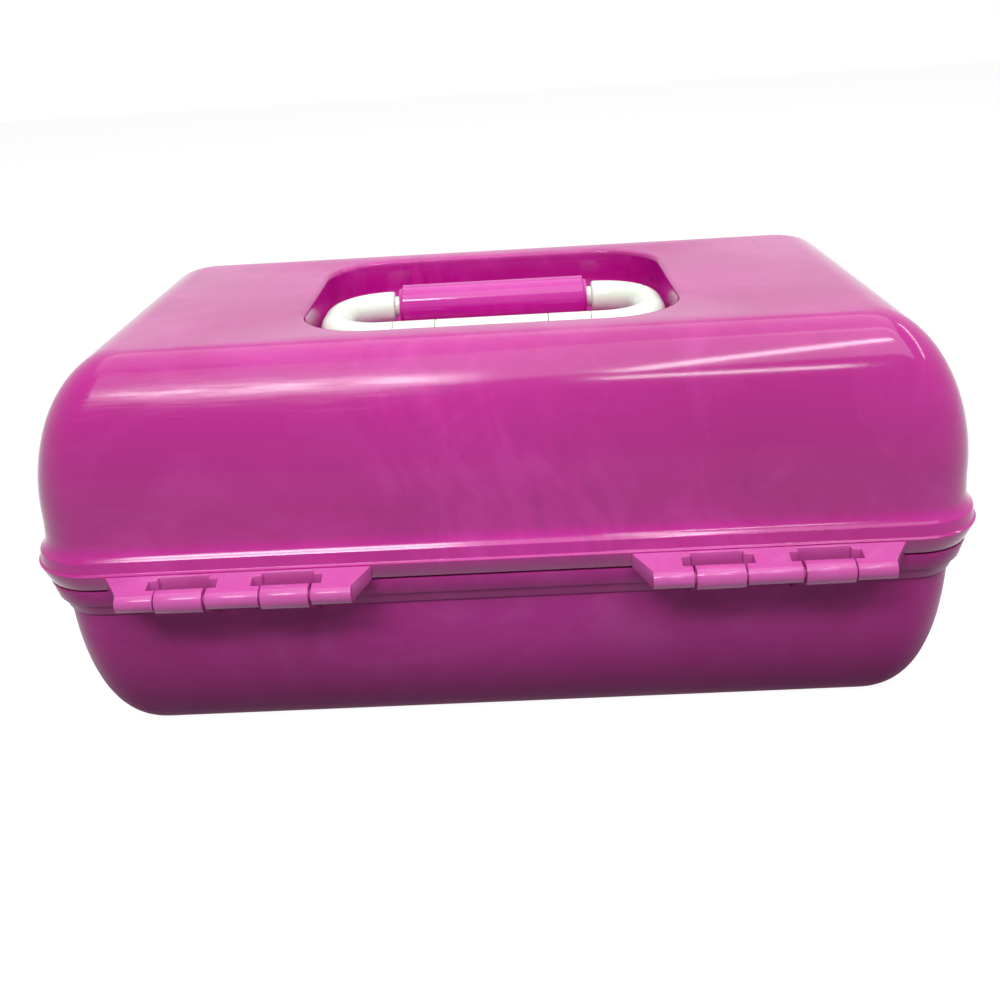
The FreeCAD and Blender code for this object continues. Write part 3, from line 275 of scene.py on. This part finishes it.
# The well's flat floor, its rounded floor edge, and the lip where its wall meets the top.
WELL_HALF_X, WELL_HALF_Y, WELL_CORNER = 55.7, 42.1, 15.5
WELL_FLOOR, WELL_ROUND = 119, 10
LIP_OUT, LIP_START, LIP_ROUND = 10.42, 138.2, 1.8
WELL_INSIDE_OUT = 10.45

# The hollow flare under the lid's wall, then the rim's steps as inset, height and edge rounding.
FLARE_INSET, FLARE_TOP, FLARE_ROUND = -3.2, 81.4, 7
LID_RIM = ((1.2, 75.9, 0.3), (0.8, 72.2, 0.25), (0.0, 71.7), (0.0, 71.4), (2.2, 65.6, 0.2),
           (6.2, 65.6, 0.2))


def inset_section(inset, height, *rounding):
    """A section of the case that lies inside its widest line by the same amount all round."""
    return (CASE_HALF_X - inset, CASE_HALF_Y - inset, PLAN_CORNER - inset, height, *rounding)


def shoulder_section(degrees, wall):
    """A section of the shoulder, from 90 degrees at the flat top to 0 at the straight wall."""
    power = 2 / SHOULDER_EXPONENT
    up = sine(degrees) ** power
    away = cosine(degrees) ** power if degrees < 90 else 0
    return (CASE_HALF_X - LID_SIDE - SHOULDER_REACH_X + (SHOULDER_REACH_X - wall) * away,
            CASE_HALF_Y - LID_SIDE - SHOULDER_REACH_Y + (SHOULDER_REACH_Y - wall) * away,
            TOP_CORNER + (LID_SIDE_CORNER - TOP_CORNER - wall) * away,
            SHOULDER_START + (CASE_HEIGHT - SHOULDER_START - wall) * up)


def well_section(out, height):
    """A section of the well, by how far it lies outside the edge of its flat floor."""
    return (WELL_HALF_X + out, WELL_HALF_Y + out, WELL_CORNER + out, height)


lid_sections = [well_section(WELL_ROUND * sine(turn),
                             WELL_FLOOR + WELL_ROUND - WELL_ROUND * cosine(turn))
                for turn in (*range(0, 85, 12), 90)]
lid_sections.append(well_section(LIP_OUT, LIP_START))
lid_sections += [well_section(LIP_OUT + LIP_ROUND * (1 - cosine(turn)),
                              LIP_START + LIP_ROUND * sine(turn))
                 for turn in (22, 45, 68, 90)]
lid_sections += [shoulder_section(turn, 0) for turn in (90, 87, *range(84, -1, -4))]
lid_sections += [inset_section(FLARE_INSET + FLARE_ROUND * cosine(turn),
                               FLARE_TOP - FLARE_ROUND * sine(turn))
                 for turn in (0, 8, 16, 24, 32, 43)]
lid_sections += [inset_section(*step) for step in LID_RIM]
lid_sections += [shoulder_section(turn, WALL) for turn in (*range(0, 71, 10), 78, 84, 90)]
inside_round = WELL_ROUND + WALL
lid_sections.append(well_section(WELL_INSIDE_OUT + WALL, CASE_HEIGHT - WALL))
lid_sections += [well_section(inside_round * cosine(turn),
                              WELL_FLOOR + WELL_ROUND - inside_round * sine(turn))
                 for turn in (0, 20, 40, 60, 80, 90)]

# The pink plastic of the case: paler flow swirls, a chalky haze on top, hair scratches, a few
# dark specks, and a rubbed place along the back shoulder that blurs its shine.
CASE_PINK = (0.50, 0.007, 0.275, 1)
CASE_PALE = (0.64, 0.06, 0.42, 1)
CASE_DEEP = (0.40, 0.003, 0.205, 1)


def case_plastic(name, pink, pale, deep, gloss, sheen, foot_shade_and_dulling=0.0):
    """The moulded pink plastic of the case, in the pinks given, with painted shade and a duller
    surface low down.
    """
    finish, place = new_finish(name)
    back = place.make("ShaderNodeSeparateXYZ", (), {"Vector": place}, "Y")
    high = place.make("ShaderNodeSeparateXYZ", (), {"Vector": place}, "Z")
    across = place.make("ShaderNodeSeparateXYZ", (), {"Vector": place}, "X")

    # Flow swirls and veins, carried along by a slow drift.
    drift = place.make("ShaderNodeTexNoise", (),
                       {"Vector": place, "Scale": 8, "Detail": 2}, "Color")
    carried = place.make("ShaderNodeVectorMath", {"operation": "MULTIPLY_ADD"},
                         {0: drift, 1: (0.10, 0.10, 0.06), 2: place})
    flow = place.make("ShaderNodeTexNoise", (),
                      {"Vector": carried, "Scale": 22, "Detail": 5, "Roughness": 0.6,
                       "Distortion": 1.2})
    broad = place.make("ShaderNodeTexNoise", (), {"Vector": carried, "Scale": 7, "Detail": 2})
    off_vein = place.make("ShaderNodeMath", {"operation": "ABSOLUTE"}, {0: flow - 0.5})
    vein = 1 - off_vein.between(0.0, 0.03)
    body = broad.between(0.35, 0.7).mix(deep, pink)
    body = (flow.between(0.45, 0.8) * 0.34 + vein * 0.05).mix(body, pale)

    # Dark and pale smears dragged down the wall of the lid.
    dragged = place.make("ShaderNodeMapping", (),
                         {"Vector": carried, "Rotation": (0, 0.5, 0), "Scale": (90, 60, 34)})
    smear = place.make("ShaderNodeTexNoise", (),
                       {"Vector": dragged, "Scale": 1.0, "Detail": 4, "Distortion": 1.5})
    dragging = broad.between(0.46, 0.6) * high.between(0.05, 0.09)
    dark_smear = smear.between(0.48, 0.66) * dragging
    pale_smear = (1 - smear.between(0.36, 0.5)) * dragging
    body = (dark_smear * 0.14).mix(body, (0.12, 0.0, 0.06, 1))
    body = (pale_smear * 0.15).mix(body, pale)

    # Chalky haze on the flat top alone, and painted shade near the foot, where the surface is also
    # duller.
    chalk = place.make("ShaderNodeTexNoise", (),
                       {"Vector": place, "Scale": 15, "Detail": 6, "Roughness": 0.62})
    chalk = chalk.between(0.44, 0.72) * high.between(0.1385, 0.1397)
    colour = (chalk * 0.22).mix(body, (0.62, 0.26, 0.47, 1))
    # Painted shade: the colour darkens towards the foot, and the same mask raises the roughness
    # there.
    low = (1 - high.between(0.006, 0.042)) * foot_shade_and_dulling
    colour = low.mix(colour, (0.10, 0.006, 0.06, 1))

    # Hair scratches laid three ways, in patches.
    hairs = 0.0
    for turn, scale in ((0.5, (1500, 26, 700)), (-0.9, (30, 900, 1300)), (1.9, (900, 900, 22))):
        laid = place.make("ShaderNodeMapping", (),
                          {"Vector": place, "Rotation": (turn, turn * 0.6, turn), "Scale": scale})
        hair = place.make("ShaderNodeTexNoise", (), {"Vector": laid, "Scale": 1.0, "Detail": 0})
        hairs = hair.between(0.77, 0.80) + hairs
    patches = place.make("ShaderNodeTexNoise", (), {"Vector": place, "Scale": 17, "Detail": 1})
    hairs = hairs * patches.between(0.52, 0.62)
    colour = (hairs * 0.10).mix(colour, pale)

    # A dark speck in one cell of ten.
    cells = place.make("ShaderNodeTexVoronoi", (), {"Vector": place, "Scale": 45})
    chosen = place.make("ShaderNodeTexVoronoi", (), {"Vector": place, "Scale": 45}, "Color")
    chosen = place.make("ShaderNodeSeparateColor", (), {"Color": chosen}) > 0.9
    speck = (1 - cells.between(0.012, 0.02)) * chosen
    colour = (speck * 0.8).mix(colour, (0.05, 0.004, 0.03, 1))

    # The rubbed place on the back shoulder, then the roughness and the fine relief of it all.
    ridge = back.between(0.062, 0.070) * high.between(0.112, 0.122) * across.between(-0.02, 0.05)
    grain = place.make("ShaderNodeMapping", (), {"Vector": place, "Scale": (50, 900, 900)})
    rub = place.make("ShaderNodeTexNoise", (), {"Vector": grain, "Scale": 1.0, "Detail": 4})
    rub = (rub.between(0.35, 0.7) * 0.7 + 0.3) * ridge
    haze = place.make("ShaderNodeTexNoise", (),
                      {"Vector": place, "Scale": 5, "Detail": 4, "Roughness": 0.65})
    rough = (gloss + haze.between(0.4, 0.75) * 0.08 + chalk * 0.12 + hairs * 0.12 + rub * 0.20
             + low * 0.5)
    swell = place.make("ShaderNodeTexNoise", (), {"Vector": place, "Scale": 40, "Detail": 1})
    height = swell * 0.5 - hairs * 0.04 - rub * 0.05
    bump = place.make("ShaderNodeBump", (), {"Height": height, "Strength": 0.08, "Distance": 0.0006})
    shell = place.make("ShaderNodeBsdfPrincipled", (),
                       {"Base Color": colour, "Roughness": rough, "IOR": 1.5,
                        "Specular IOR Level": sheen, "Normal": bump})
    place.make("ShaderNodeOutputMaterial", (), {"Surface": shell})
    return finish


lid_finish = case_plastic("lid_pink", CASE_PINK, CASE_PALE, CASE_DEEP, gloss=0.10, sheen=0.42)
finish_piece("lid_dome", skin_over(lid_sections), "lid", lid_finish, ["lid_shell"])

# ---------------------------------------------------------------- hinge brackets
# Two sloping plates moulded on the back of the lid's rim. Each has a rounded outer edge, an open
# window for each of two base hooks, notches beside the windows and a pin across them.
HINGE_Y, HINGE_Z, ROD_RADIUS, PIN_RADIUS = 99.0, 66.0, 3.15, 1.9
PIN_INNER_END, PIN_OUTER_END = 49, 124
HOOK_MIDDLES = (69.5, 103.8)
WINDOW_HALF, WINDOW_NEAR, NOTCH = 8.45, 91.6, 3.0
NOTCH_NEAR, NOTCH_FAR = 93.225, 97.425
BRACKET_ROOT, BRACKET_TIP = (42.6, 130.1), (48.0, 124.7)
BRACKET_SEAT, BRACKET_STRAIGHT_END, SLOPE_START = 88.6, 91.2, 90.5
ROOT_TOP, ROOT_UNDER = 71.4, 66.4
BLANK_HEIGHT, BRACKET_EASE, EDGE_FLAT = 10, 0.28, 0.05
EDGE = HINGE_Y + ROD_RADIUS


def barrel(mesh, spot, radius, low, high, sides=32):
    """A round bar along X at (back, up), between two places across."""
    turned = Matrix.Rotation(math.radians(90), 4, "Y")
    middle = Matrix.Translation(Vector(((low + high) / 2, *spot)) * MM)
    bmesh.ops.create_cone(mesh, cap_ends=True, segments=sides, radius1=radius * MM,
                          radius2=radius * MM, depth=abs(high - low) * MM, matrix=middle @ turned)


def slab(mesh, points, shift):
    """A flat outline in space, drawn out by a shift."""
    corners = [mesh.verts.new(Vector(point) * MM) for point in points]
    face = mesh.faces.new(corners)
    made = bmesh.ops.extrude_face_region(mesh, geom=[face])["geom"]
    moved = [part for part in made if isinstance(part, bmesh.types.BMVert)]
    bmesh.ops.translate(mesh, verts=moved, vec=Vector(shift) * MM)


mesh = bmesh.new()
for side in (-1, 1):
    comb = [(BRACKET_ROOT[0], BRACKET_SEAT), (BRACKET_ROOT[0], BRACKET_STRAIGHT_END),
            (BRACKET_TIP[0], HINGE_Y), (BRACKET_TIP[0], EDGE)]
    for middle in HOOK_MIDDLES:
        near, far = middle - WINDOW_HALF, middle + WINDOW_HALF
        comb += [(near, EDGE), (near, NOTCH_FAR), (near - NOTCH, NOTCH_FAR),
                 (near - NOTCH, NOTCH_NEAR), (near, NOTCH_NEAR), (near, WINDOW_NEAR),
                 (far, WINDOW_NEAR), (far, NOTCH_NEAR), (far + NOTCH, NOTCH_NEAR),
                 (far + NOTCH, NOTCH_FAR), (far, NOTCH_FAR), (far, EDGE)]
    comb += [(BRACKET_TIP[1], EDGE), (BRACKET_TIP[1], HINGE_Y),
             (BRACKET_ROOT[1], BRACKET_STRAIGHT_END), (BRACKET_ROOT[1], BRACKET_SEAT)]
    slab(mesh, [(side * x, y, 0) for x, y in comb], (0, 0, BLANK_HEIGHT))
for cut in (SLOPE_START, HINGE_Y):
    bmesh.ops.bisect_plane(mesh, geom=mesh.verts[:] + mesh.edges[:] + mesh.faces[:],
                           plane_co=(0, cut * MM, 0), plane_no=(0, 1, 0))
for vert in mesh.verts:
    back = vert.co.y / MM
    slope = min(max((back - SLOPE_START) / (HINGE_Y - SLOPE_START), 0), 1)
    top = ROOT_TOP + (HINGE_Z + ROD_RADIUS - ROOT_TOP) * slope
    under = ROOT_UNDER + (HINGE_Z - ROD_RADIUS - ROOT_UNDER) * slope
    vert.co.z = (top if vert.co.z > BLANK_HEIGHT / 2 * MM else under) * MM
bmesh.ops.recalc_face_normals(mesh, faces=mesh.faces[:])
round_edges = [edge for edge in mesh.edges
               if all(abs(vert.co.y - EDGE * MM) < 1e-6 for vert in edge.verts)
               and abs(edge.verts[0].co.z - edge.verts[1].co.z) < 1e-6]
bmesh.ops.bevel(mesh, geom=round_edges, offset=(ROD_RADIUS - EDGE_FLAT) * MM, segments=7, profile=0.5,
                affect="EDGES", material=-1)
crisp = [edge for edge in mesh.edges
         if len(edge.link_faces) == 2 and edge.calc_face_angle() > math.radians(50)]
bmesh.ops.bevel(mesh, geom=crisp, offset=BRACKET_EASE * MM, segments=2, profile=0.5,
                affect="EDGES", material=-1)
# The hinge parts take paler copies of the case pink; their raised green is a painted sheen.
hinge_finish_painted_sheen = case_plastic("hinge_pink_painted_sheen", (0.57, 0.085, 0.37, 1), (0.68, 0.15, 0.48, 1),
                            (0.51, 0.07, 0.32, 1), gloss=0.16, sheen=0.36)
finish_piece("lid_hinge_brackets", mesh, "lid", hinge_finish_painted_sheen, ["lid_shell"])

mesh = bmesh.new()
for side in (-1, 1):
    barrel(mesh, (HINGE_Y, HINGE_Z), PIN_RADIUS, side * PIN_INNER_END, side * PIN_OUTER_END)
finish_piece("lid_hinge_pins", mesh, "lid", hinge_finish_painted_sheen, ["lid_shell"])

# ---------------------------------------------------------------- lid fittings
# Plain lugs moulded on the lid: pairs on the front rim for the latch pins, a pair inside for the
# tray, and four posts that take the mirror screws.
LATCH_Y, LATCH_Z, LATCH_BARREL = -95.4, 73.0, 3.4
LATCH_MIDDLE, LATCH_HALF, LATCH_PLAY = 95, 17, 0.4
LUG_THICKNESS, LUG_ROOT, LUG_UNDER, LUG_TOP = 4, -88.8, 71.6, 78.4
TRAY_LUG_INNER, TRAY_LUG_THICKNESS, TRAY_LUG_WEB = 144.2, 3.4, 7
TRAY_LUG_OUTER = TRAY_LUG_INNER + TRAY_LUG_THICKNESS
TRAY_LUG_FRONT, TRAY_LUG_BACK, TRAY_LUG_EYE = 34, 44, 66
TRAY_WEB_UNDER, TRAY_LUG_TOP = 73.4, 87.4
POST_X, POST_Y, POST_RADIUS, POST_START, POST_LENGTH = 84.5, 53.5, 3.6, 114.3, 24.5


def upright(mesh, low, under, top, shift):
    """A plate of the tray's lug, standing across the case between two heights."""
    slab(mesh, [(low, TRAY_LUG_FRONT, under), (low, TRAY_LUG_BACK, under),
                (low, TRAY_LUG_BACK, top), (low, TRAY_LUG_FRONT, top)], (shift, 0, 0))


mesh = bmesh.new()
for side in (-1, 1):
    for low in (LATCH_MIDDLE - LATCH_HALF - LATCH_PLAY - LUG_THICKNESS,
                LATCH_MIDDLE + LATCH_HALF + LATCH_PLAY):
        slab(mesh, [(side * low, LUG_ROOT, LUG_UNDER),
                    (side * low, LATCH_Y, LATCH_Z - LATCH_BARREL),
                    (side * low, LATCH_Y, LATCH_Z + LATCH_BARREL),
                    (side * low, LUG_ROOT, LUG_TOP)], (side * LUG_THICKNESS, 0, 0))
        barrel(mesh, (LATCH_Y, LATCH_Z), LATCH_BARREL, side * low, side * (low + LUG_THICKNESS))
    upright(mesh, side * TRAY_LUG_INNER, TRAY_LUG_EYE, TRAY_LUG_TOP, side * TRAY_LUG_THICKNESS)
    barrel(mesh, ((TRAY_LUG_FRONT + TRAY_LUG_BACK) / 2, TRAY_LUG_EYE),
           (TRAY_LUG_BACK - TRAY_LUG_FRONT) / 2, side * TRAY_LUG_INNER, side * TRAY_LUG_OUTER)
    upright(mesh, side * TRAY_LUG_OUTER, TRAY_WEB_UNDER, TRAY_LUG_TOP, side * TRAY_LUG_WEB)
    for back in (-POST_Y, POST_Y):
        centre = Vector((side * POST_X, back, POST_START + POST_LENGTH / 2)) * MM
        bmesh.ops.create_cone(mesh, cap_ends=True, segments=32, radius1=POST_RADIUS * MM,
                              radius2=POST_RADIUS * MM, depth=POST_LENGTH * MM,
                              matrix=Matrix.Translation(centre))
bmesh.ops.recalc_face_normals(mesh, faces=mesh.faces[:])
finish_piece("lid_lugs_and_posts", mesh, "lid", lid_finish, ["lid_shell"])

# ---------------------------------------------------------------- base shell
# The bowl-shaped base, moulded in the same plastic as the lid: a flat foot, a rounded bowl, a
# short wall, two flaring steps under the rim and a thin tongue that stands inside the lid.
BASE_SIDE, BASE_CORNER, CORNER_TIGHTENS = 7.2, 16.8, 2.8
BOWL_REACH_X, BOWL_REACH_Y, BOWL_TOP, BOWL_DEPTH, BOWL_EXPONENT = 17.5, 22.5, 53, 55.1, 2.15
BOWL_END = math.degrees(math.asin((BOWL_TOP / BOWL_DEPTH) ** (BOWL_EXPONENT / 2)))
BOWL_INSIDE_END = math.degrees(math.asin(((BOWL_TOP - WALL) / (BOWL_DEPTH - WALL))
                                         ** (BOWL_EXPONENT / 2)))
FOOT_ROUND, OUTER_STEPS, INNER_STEPS = 0.5, 16, 10

# The base's steps and tongue, as inset, height and edge rounding.
BASE_RIM = ((7.2, 53.9), (6.3, 53.9, 0.2), (4.8, 58.4), (3.9, 58.4, 0.2), (2.4, 64.6, 0.2),
            (6.7, 64.6), (6.7, 68.0, 0.2), (8.5, 68.0, 0.2), (8.5, 58.4), (9.6, 53.9))


def bowl_section(degrees, wall):
    """A section of the bowl, from 0 degrees at its straight wall to the flat floor."""
    power = 2 / BOWL_EXPONENT
    away = cosine(degrees) ** power
    share = (1 - away) / (1 - cosine(BOWL_END) ** power)
    return (CASE_HALF_X - BASE_SIDE - BOWL_REACH_X + (BOWL_REACH_X - wall) * away,
            CASE_HALF_Y - BASE_SIDE - BOWL_REACH_Y + (BOWL_REACH_Y - wall) * away,
            BASE_CORNER - CORNER_TIGHTENS * share - wall,
            BOWL_TOP - (BOWL_DEPTH - wall) * sine(degrees) ** power)


base_sections = [(*bowl_section(BOWL_END, 0), FOOT_ROUND)]
base_sections += [bowl_section(BOWL_END * step / OUTER_STEPS, 0)
                  for step in range(OUTER_STEPS - 1, -1, -1)]
base_sections += [inset_section(*step) for step in BASE_RIM]
base_sections += [bowl_section(BOWL_INSIDE_END * step / INNER_STEPS, WALL)
                  for step in range(INNER_STEPS + 1)]
# The base takes darker copies of the lid's pinks as painted shade, with more green in them as a
# painted reflection of the bench.
base_finish_painted_shade = case_plastic("base_pink_painted_shade", (0.44, 0.035, 0.265, 1), (0.56, 0.10, 0.39, 1),
                           (0.36, 0.025, 0.205, 1), gloss=0.30, sheen=0.16, foot_shade_and_dulling=0.6)
finish_piece("base_bowl", skin_over(base_sections), "base", base_finish_painted_shade, ["base_shell"])

# ---------------------------------------------------------------- hinge hooks and base fittings
# Four open hooks moulded on the base that clip round the lid's pins, a small wedge under each
# latch, and a boss inside each end that the tray arms turn on.
HOOK_WIDTH, HOOK_INNER, HOOK_OUTER = 15.5, 1.98, 3.9
LIP_INNER_TURN, LIP_OUTER_TURN, HOOK_SWEEP, HOOK_STEPS = 0.55, 0.2, 302, 30
HOOK_STEM = ((82.6, 51.2), (98.4, 62.1), (95.5, 65), (85.6, 57.2), (82.6, 57.2))
KEEPER_START, KEEPER_WIDTH = 84.8, 20.4
KEEPER = ((-82.6, 51.0), (-82.6, 54.9), (-84.3, 54.9), (-88.8, 53.2), (-88.8, 51.0))
ARM_BOSS, ARM_BOSS_RADIUS, ARM_BOSS_INNER, ARM_BOSS_OUTER = (30, 56), 5, 146.1, 151.4
HOOK_EASE = 0.25


def lip_end(mesh, low, radius, turn):
    """One end of the hook's lip, at a radius and a turn from the pin."""
    return mesh.verts.new(Vector((low, HINGE_Y - radius * math.cos(turn),
                                  HINGE_Z - radius * math.sin(turn))) * MM)


mesh = bmesh.new()
for side in (-1, 1):
    for middle in HOOK_MIDDLES:
        low = side * middle - HOOK_WIDTH / 2
        start = lip_end(mesh, low, HOOK_INNER, LIP_INNER_TURN)
        end = lip_end(mesh, low, HOOK_OUTER, LIP_OUTER_TURN)
        lip = mesh.edges.new((start, end))
        hub = Vector((low, HINGE_Y, HINGE_Z)) * MM
        bmesh.ops.spin(mesh, geom=[start, end, lip], cent=hub, axis=(1, 0, 0), dvec=(0, 0, 0),
                       angle=math.radians(HOOK_SWEEP), steps=HOOK_STEPS, use_merge=False,
                       use_duplicate=False)
        faces = [face for face in mesh.faces
                 if all(abs(vert.co.x - low * MM) < 1e-7 for vert in face.verts)]
        made = bmesh.ops.extrude_face_region(mesh, geom=faces)["geom"]
        moved = [part for part in made if isinstance(part, bmesh.types.BMVert)]
        bmesh.ops.translate(mesh, verts=moved, vec=(HOOK_WIDTH * MM, 0, 0))
        slab(mesh, [(low, *corner) for corner in HOOK_STEM], (HOOK_WIDTH, 0, 0))
    slab(mesh, [(side * KEEPER_START, *corner) for corner in KEEPER], (side * KEEPER_WIDTH, 0, 0))
    barrel(mesh, ARM_BOSS, ARM_BOSS_RADIUS, side * ARM_BOSS_INNER, side * ARM_BOSS_OUTER)
bmesh.ops.recalc_face_normals(mesh, faces=mesh.faces[:])
crisp = [edge for edge in mesh.edges
         if len(edge.link_faces) == 2 and edge.calc_face_angle() > math.radians(60)]
bmesh.ops.bevel(mesh, geom=crisp, offset=HOOK_EASE * MM, segments=2, profile=0.5,
                affect="EDGES", material=-1)
finish_piece("base_hinge_hooks", mesh, "base", hinge_finish_painted_sheen, ["base_shell"])

# ---------------------------------------------------------------- carrying ring and clamps
# A closed ring of round bar in warm white plastic, with turned-down necks, held by two saddle
# clamps in the well of the lid.
def white_plastic(name, colour, worn, gloss):
    """Warm white moulded plastic, a little yellowed and handled."""
    finish, place = new_finish(name)
    tone = place.make("ShaderNodeTexNoise", (), {"Vector": place, "Scale": 30, "Detail": 3})
    marks = place.make("ShaderNodeTexNoise", (), {"Vector": place, "Scale": 160, "Detail": 2})
    marks = marks.between(0.66, 0.74)
    shade = (tone.between(0.35, 0.75) * 0.5 + marks * 0.25).mix(colour, worn)
    rough = gloss + tone.between(0.4, 0.7) * 0.08 + marks * 0.15
    bump = place.make("ShaderNodeBump", (),
                      {"Height": tone * 0.4 - marks * 0.1, "Strength": 0.1, "Distance": 0.0004})
    shell = place.make("ShaderNodeBsdfPrincipled", (),
                       {"Base Color": shade, "Roughness": rough, "IOR": 1.5, "Normal": bump})
    place.make("ShaderNodeOutputMaterial", (), {"Surface": shell})
    return finish


ring_finish = white_plastic("ring_white", (0.75, 0.86, 0.74, 1), (0.70, 0.76, 0.62, 1),
                            gloss=0.18)
grip_finish = case_plastic("grip_pink", (0.56, 0.012, 0.34, 1), (0.66, 0.09, 0.45, 1),
                           (0.50, 0.008, 0.30, 1), gloss=0.09, sheen=0.5)
latch_finish = white_plastic("latch_white", (0.84, 0.82, 0.77, 1), (0.78, 0.75, 0.66, 1),
                             gloss=0.22)
tray_finish = case_plastic("tray_pink", (0.70, 0.09, 0.42, 1), (0.78, 0.2, 0.52, 1),
                           (0.62, 0.07, 0.36, 1), gloss=0.3, sheen=0.4)
arm_finish = white_plastic("arm_white", (0.80, 0.79, 0.75, 1), (0.74, 0.72, 0.66, 1), gloss=0.3)


def metal_finish(name, colour, rough, grain):
    """Bright metal, with a brushed grain or polished clear."""
    finish, place = new_finish(name)
    drawn = place.make("ShaderNodeMapping", (), {"Vector": place, "Scale": (900, 60, 900)})
    brush = place.make("ShaderNodeTexNoise", (), {"Vector": drawn, "Scale": 1.0, "Detail": 2}) * grain
    tone = brush.mix(colour, tuple(level * 0.85 for level in colour[:3]) + (1,))
    shell = place.make("ShaderNodeBsdfPrincipled", (),
                       {"Base Color": tone, "Metallic": 1.0, "Roughness": brush * 0.15 + rough})
    place.make("ShaderNodeOutputMaterial", (), {"Surface": shell})
    return finish


steel_finish = metal_finish("screw_steel", (0.62, 0.62, 0.60, 1), rough=0.25, grain=1.0)
mirror_finish = metal_finish("mirror_silver", (0.88, 0.90, 0.91, 1), rough=0.01, grain=0.03)
for finish, names in (
        (ring_finish, ("handle_ring", "handle_clamp_left", "handle_clamp_right")),
        (grip_finish, ("grip_half_upper", "grip_half_lower")),
        (latch_finish, ("latch_left", "latch_right")),
        (tray_finish, ("tray",)),
        (arm_finish, ("tray_arm_left", "tray_arm_right", "base_pivot_studs", "tray_pivot_studs",
                      "lid_pivot_studs")),
        (lid_finish, ("mirror_frame",)),
        (mirror_finish, ("mirror_glass",)),
        (steel_finish, ("clamp_screws", "mirror_screws", "latch_pin_left", "latch_pin_right"))):
    for name in names:
        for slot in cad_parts[name].material_slots:
            slot.material = finish

bpy.context.scene.view_settings.view_transform = "Standard"
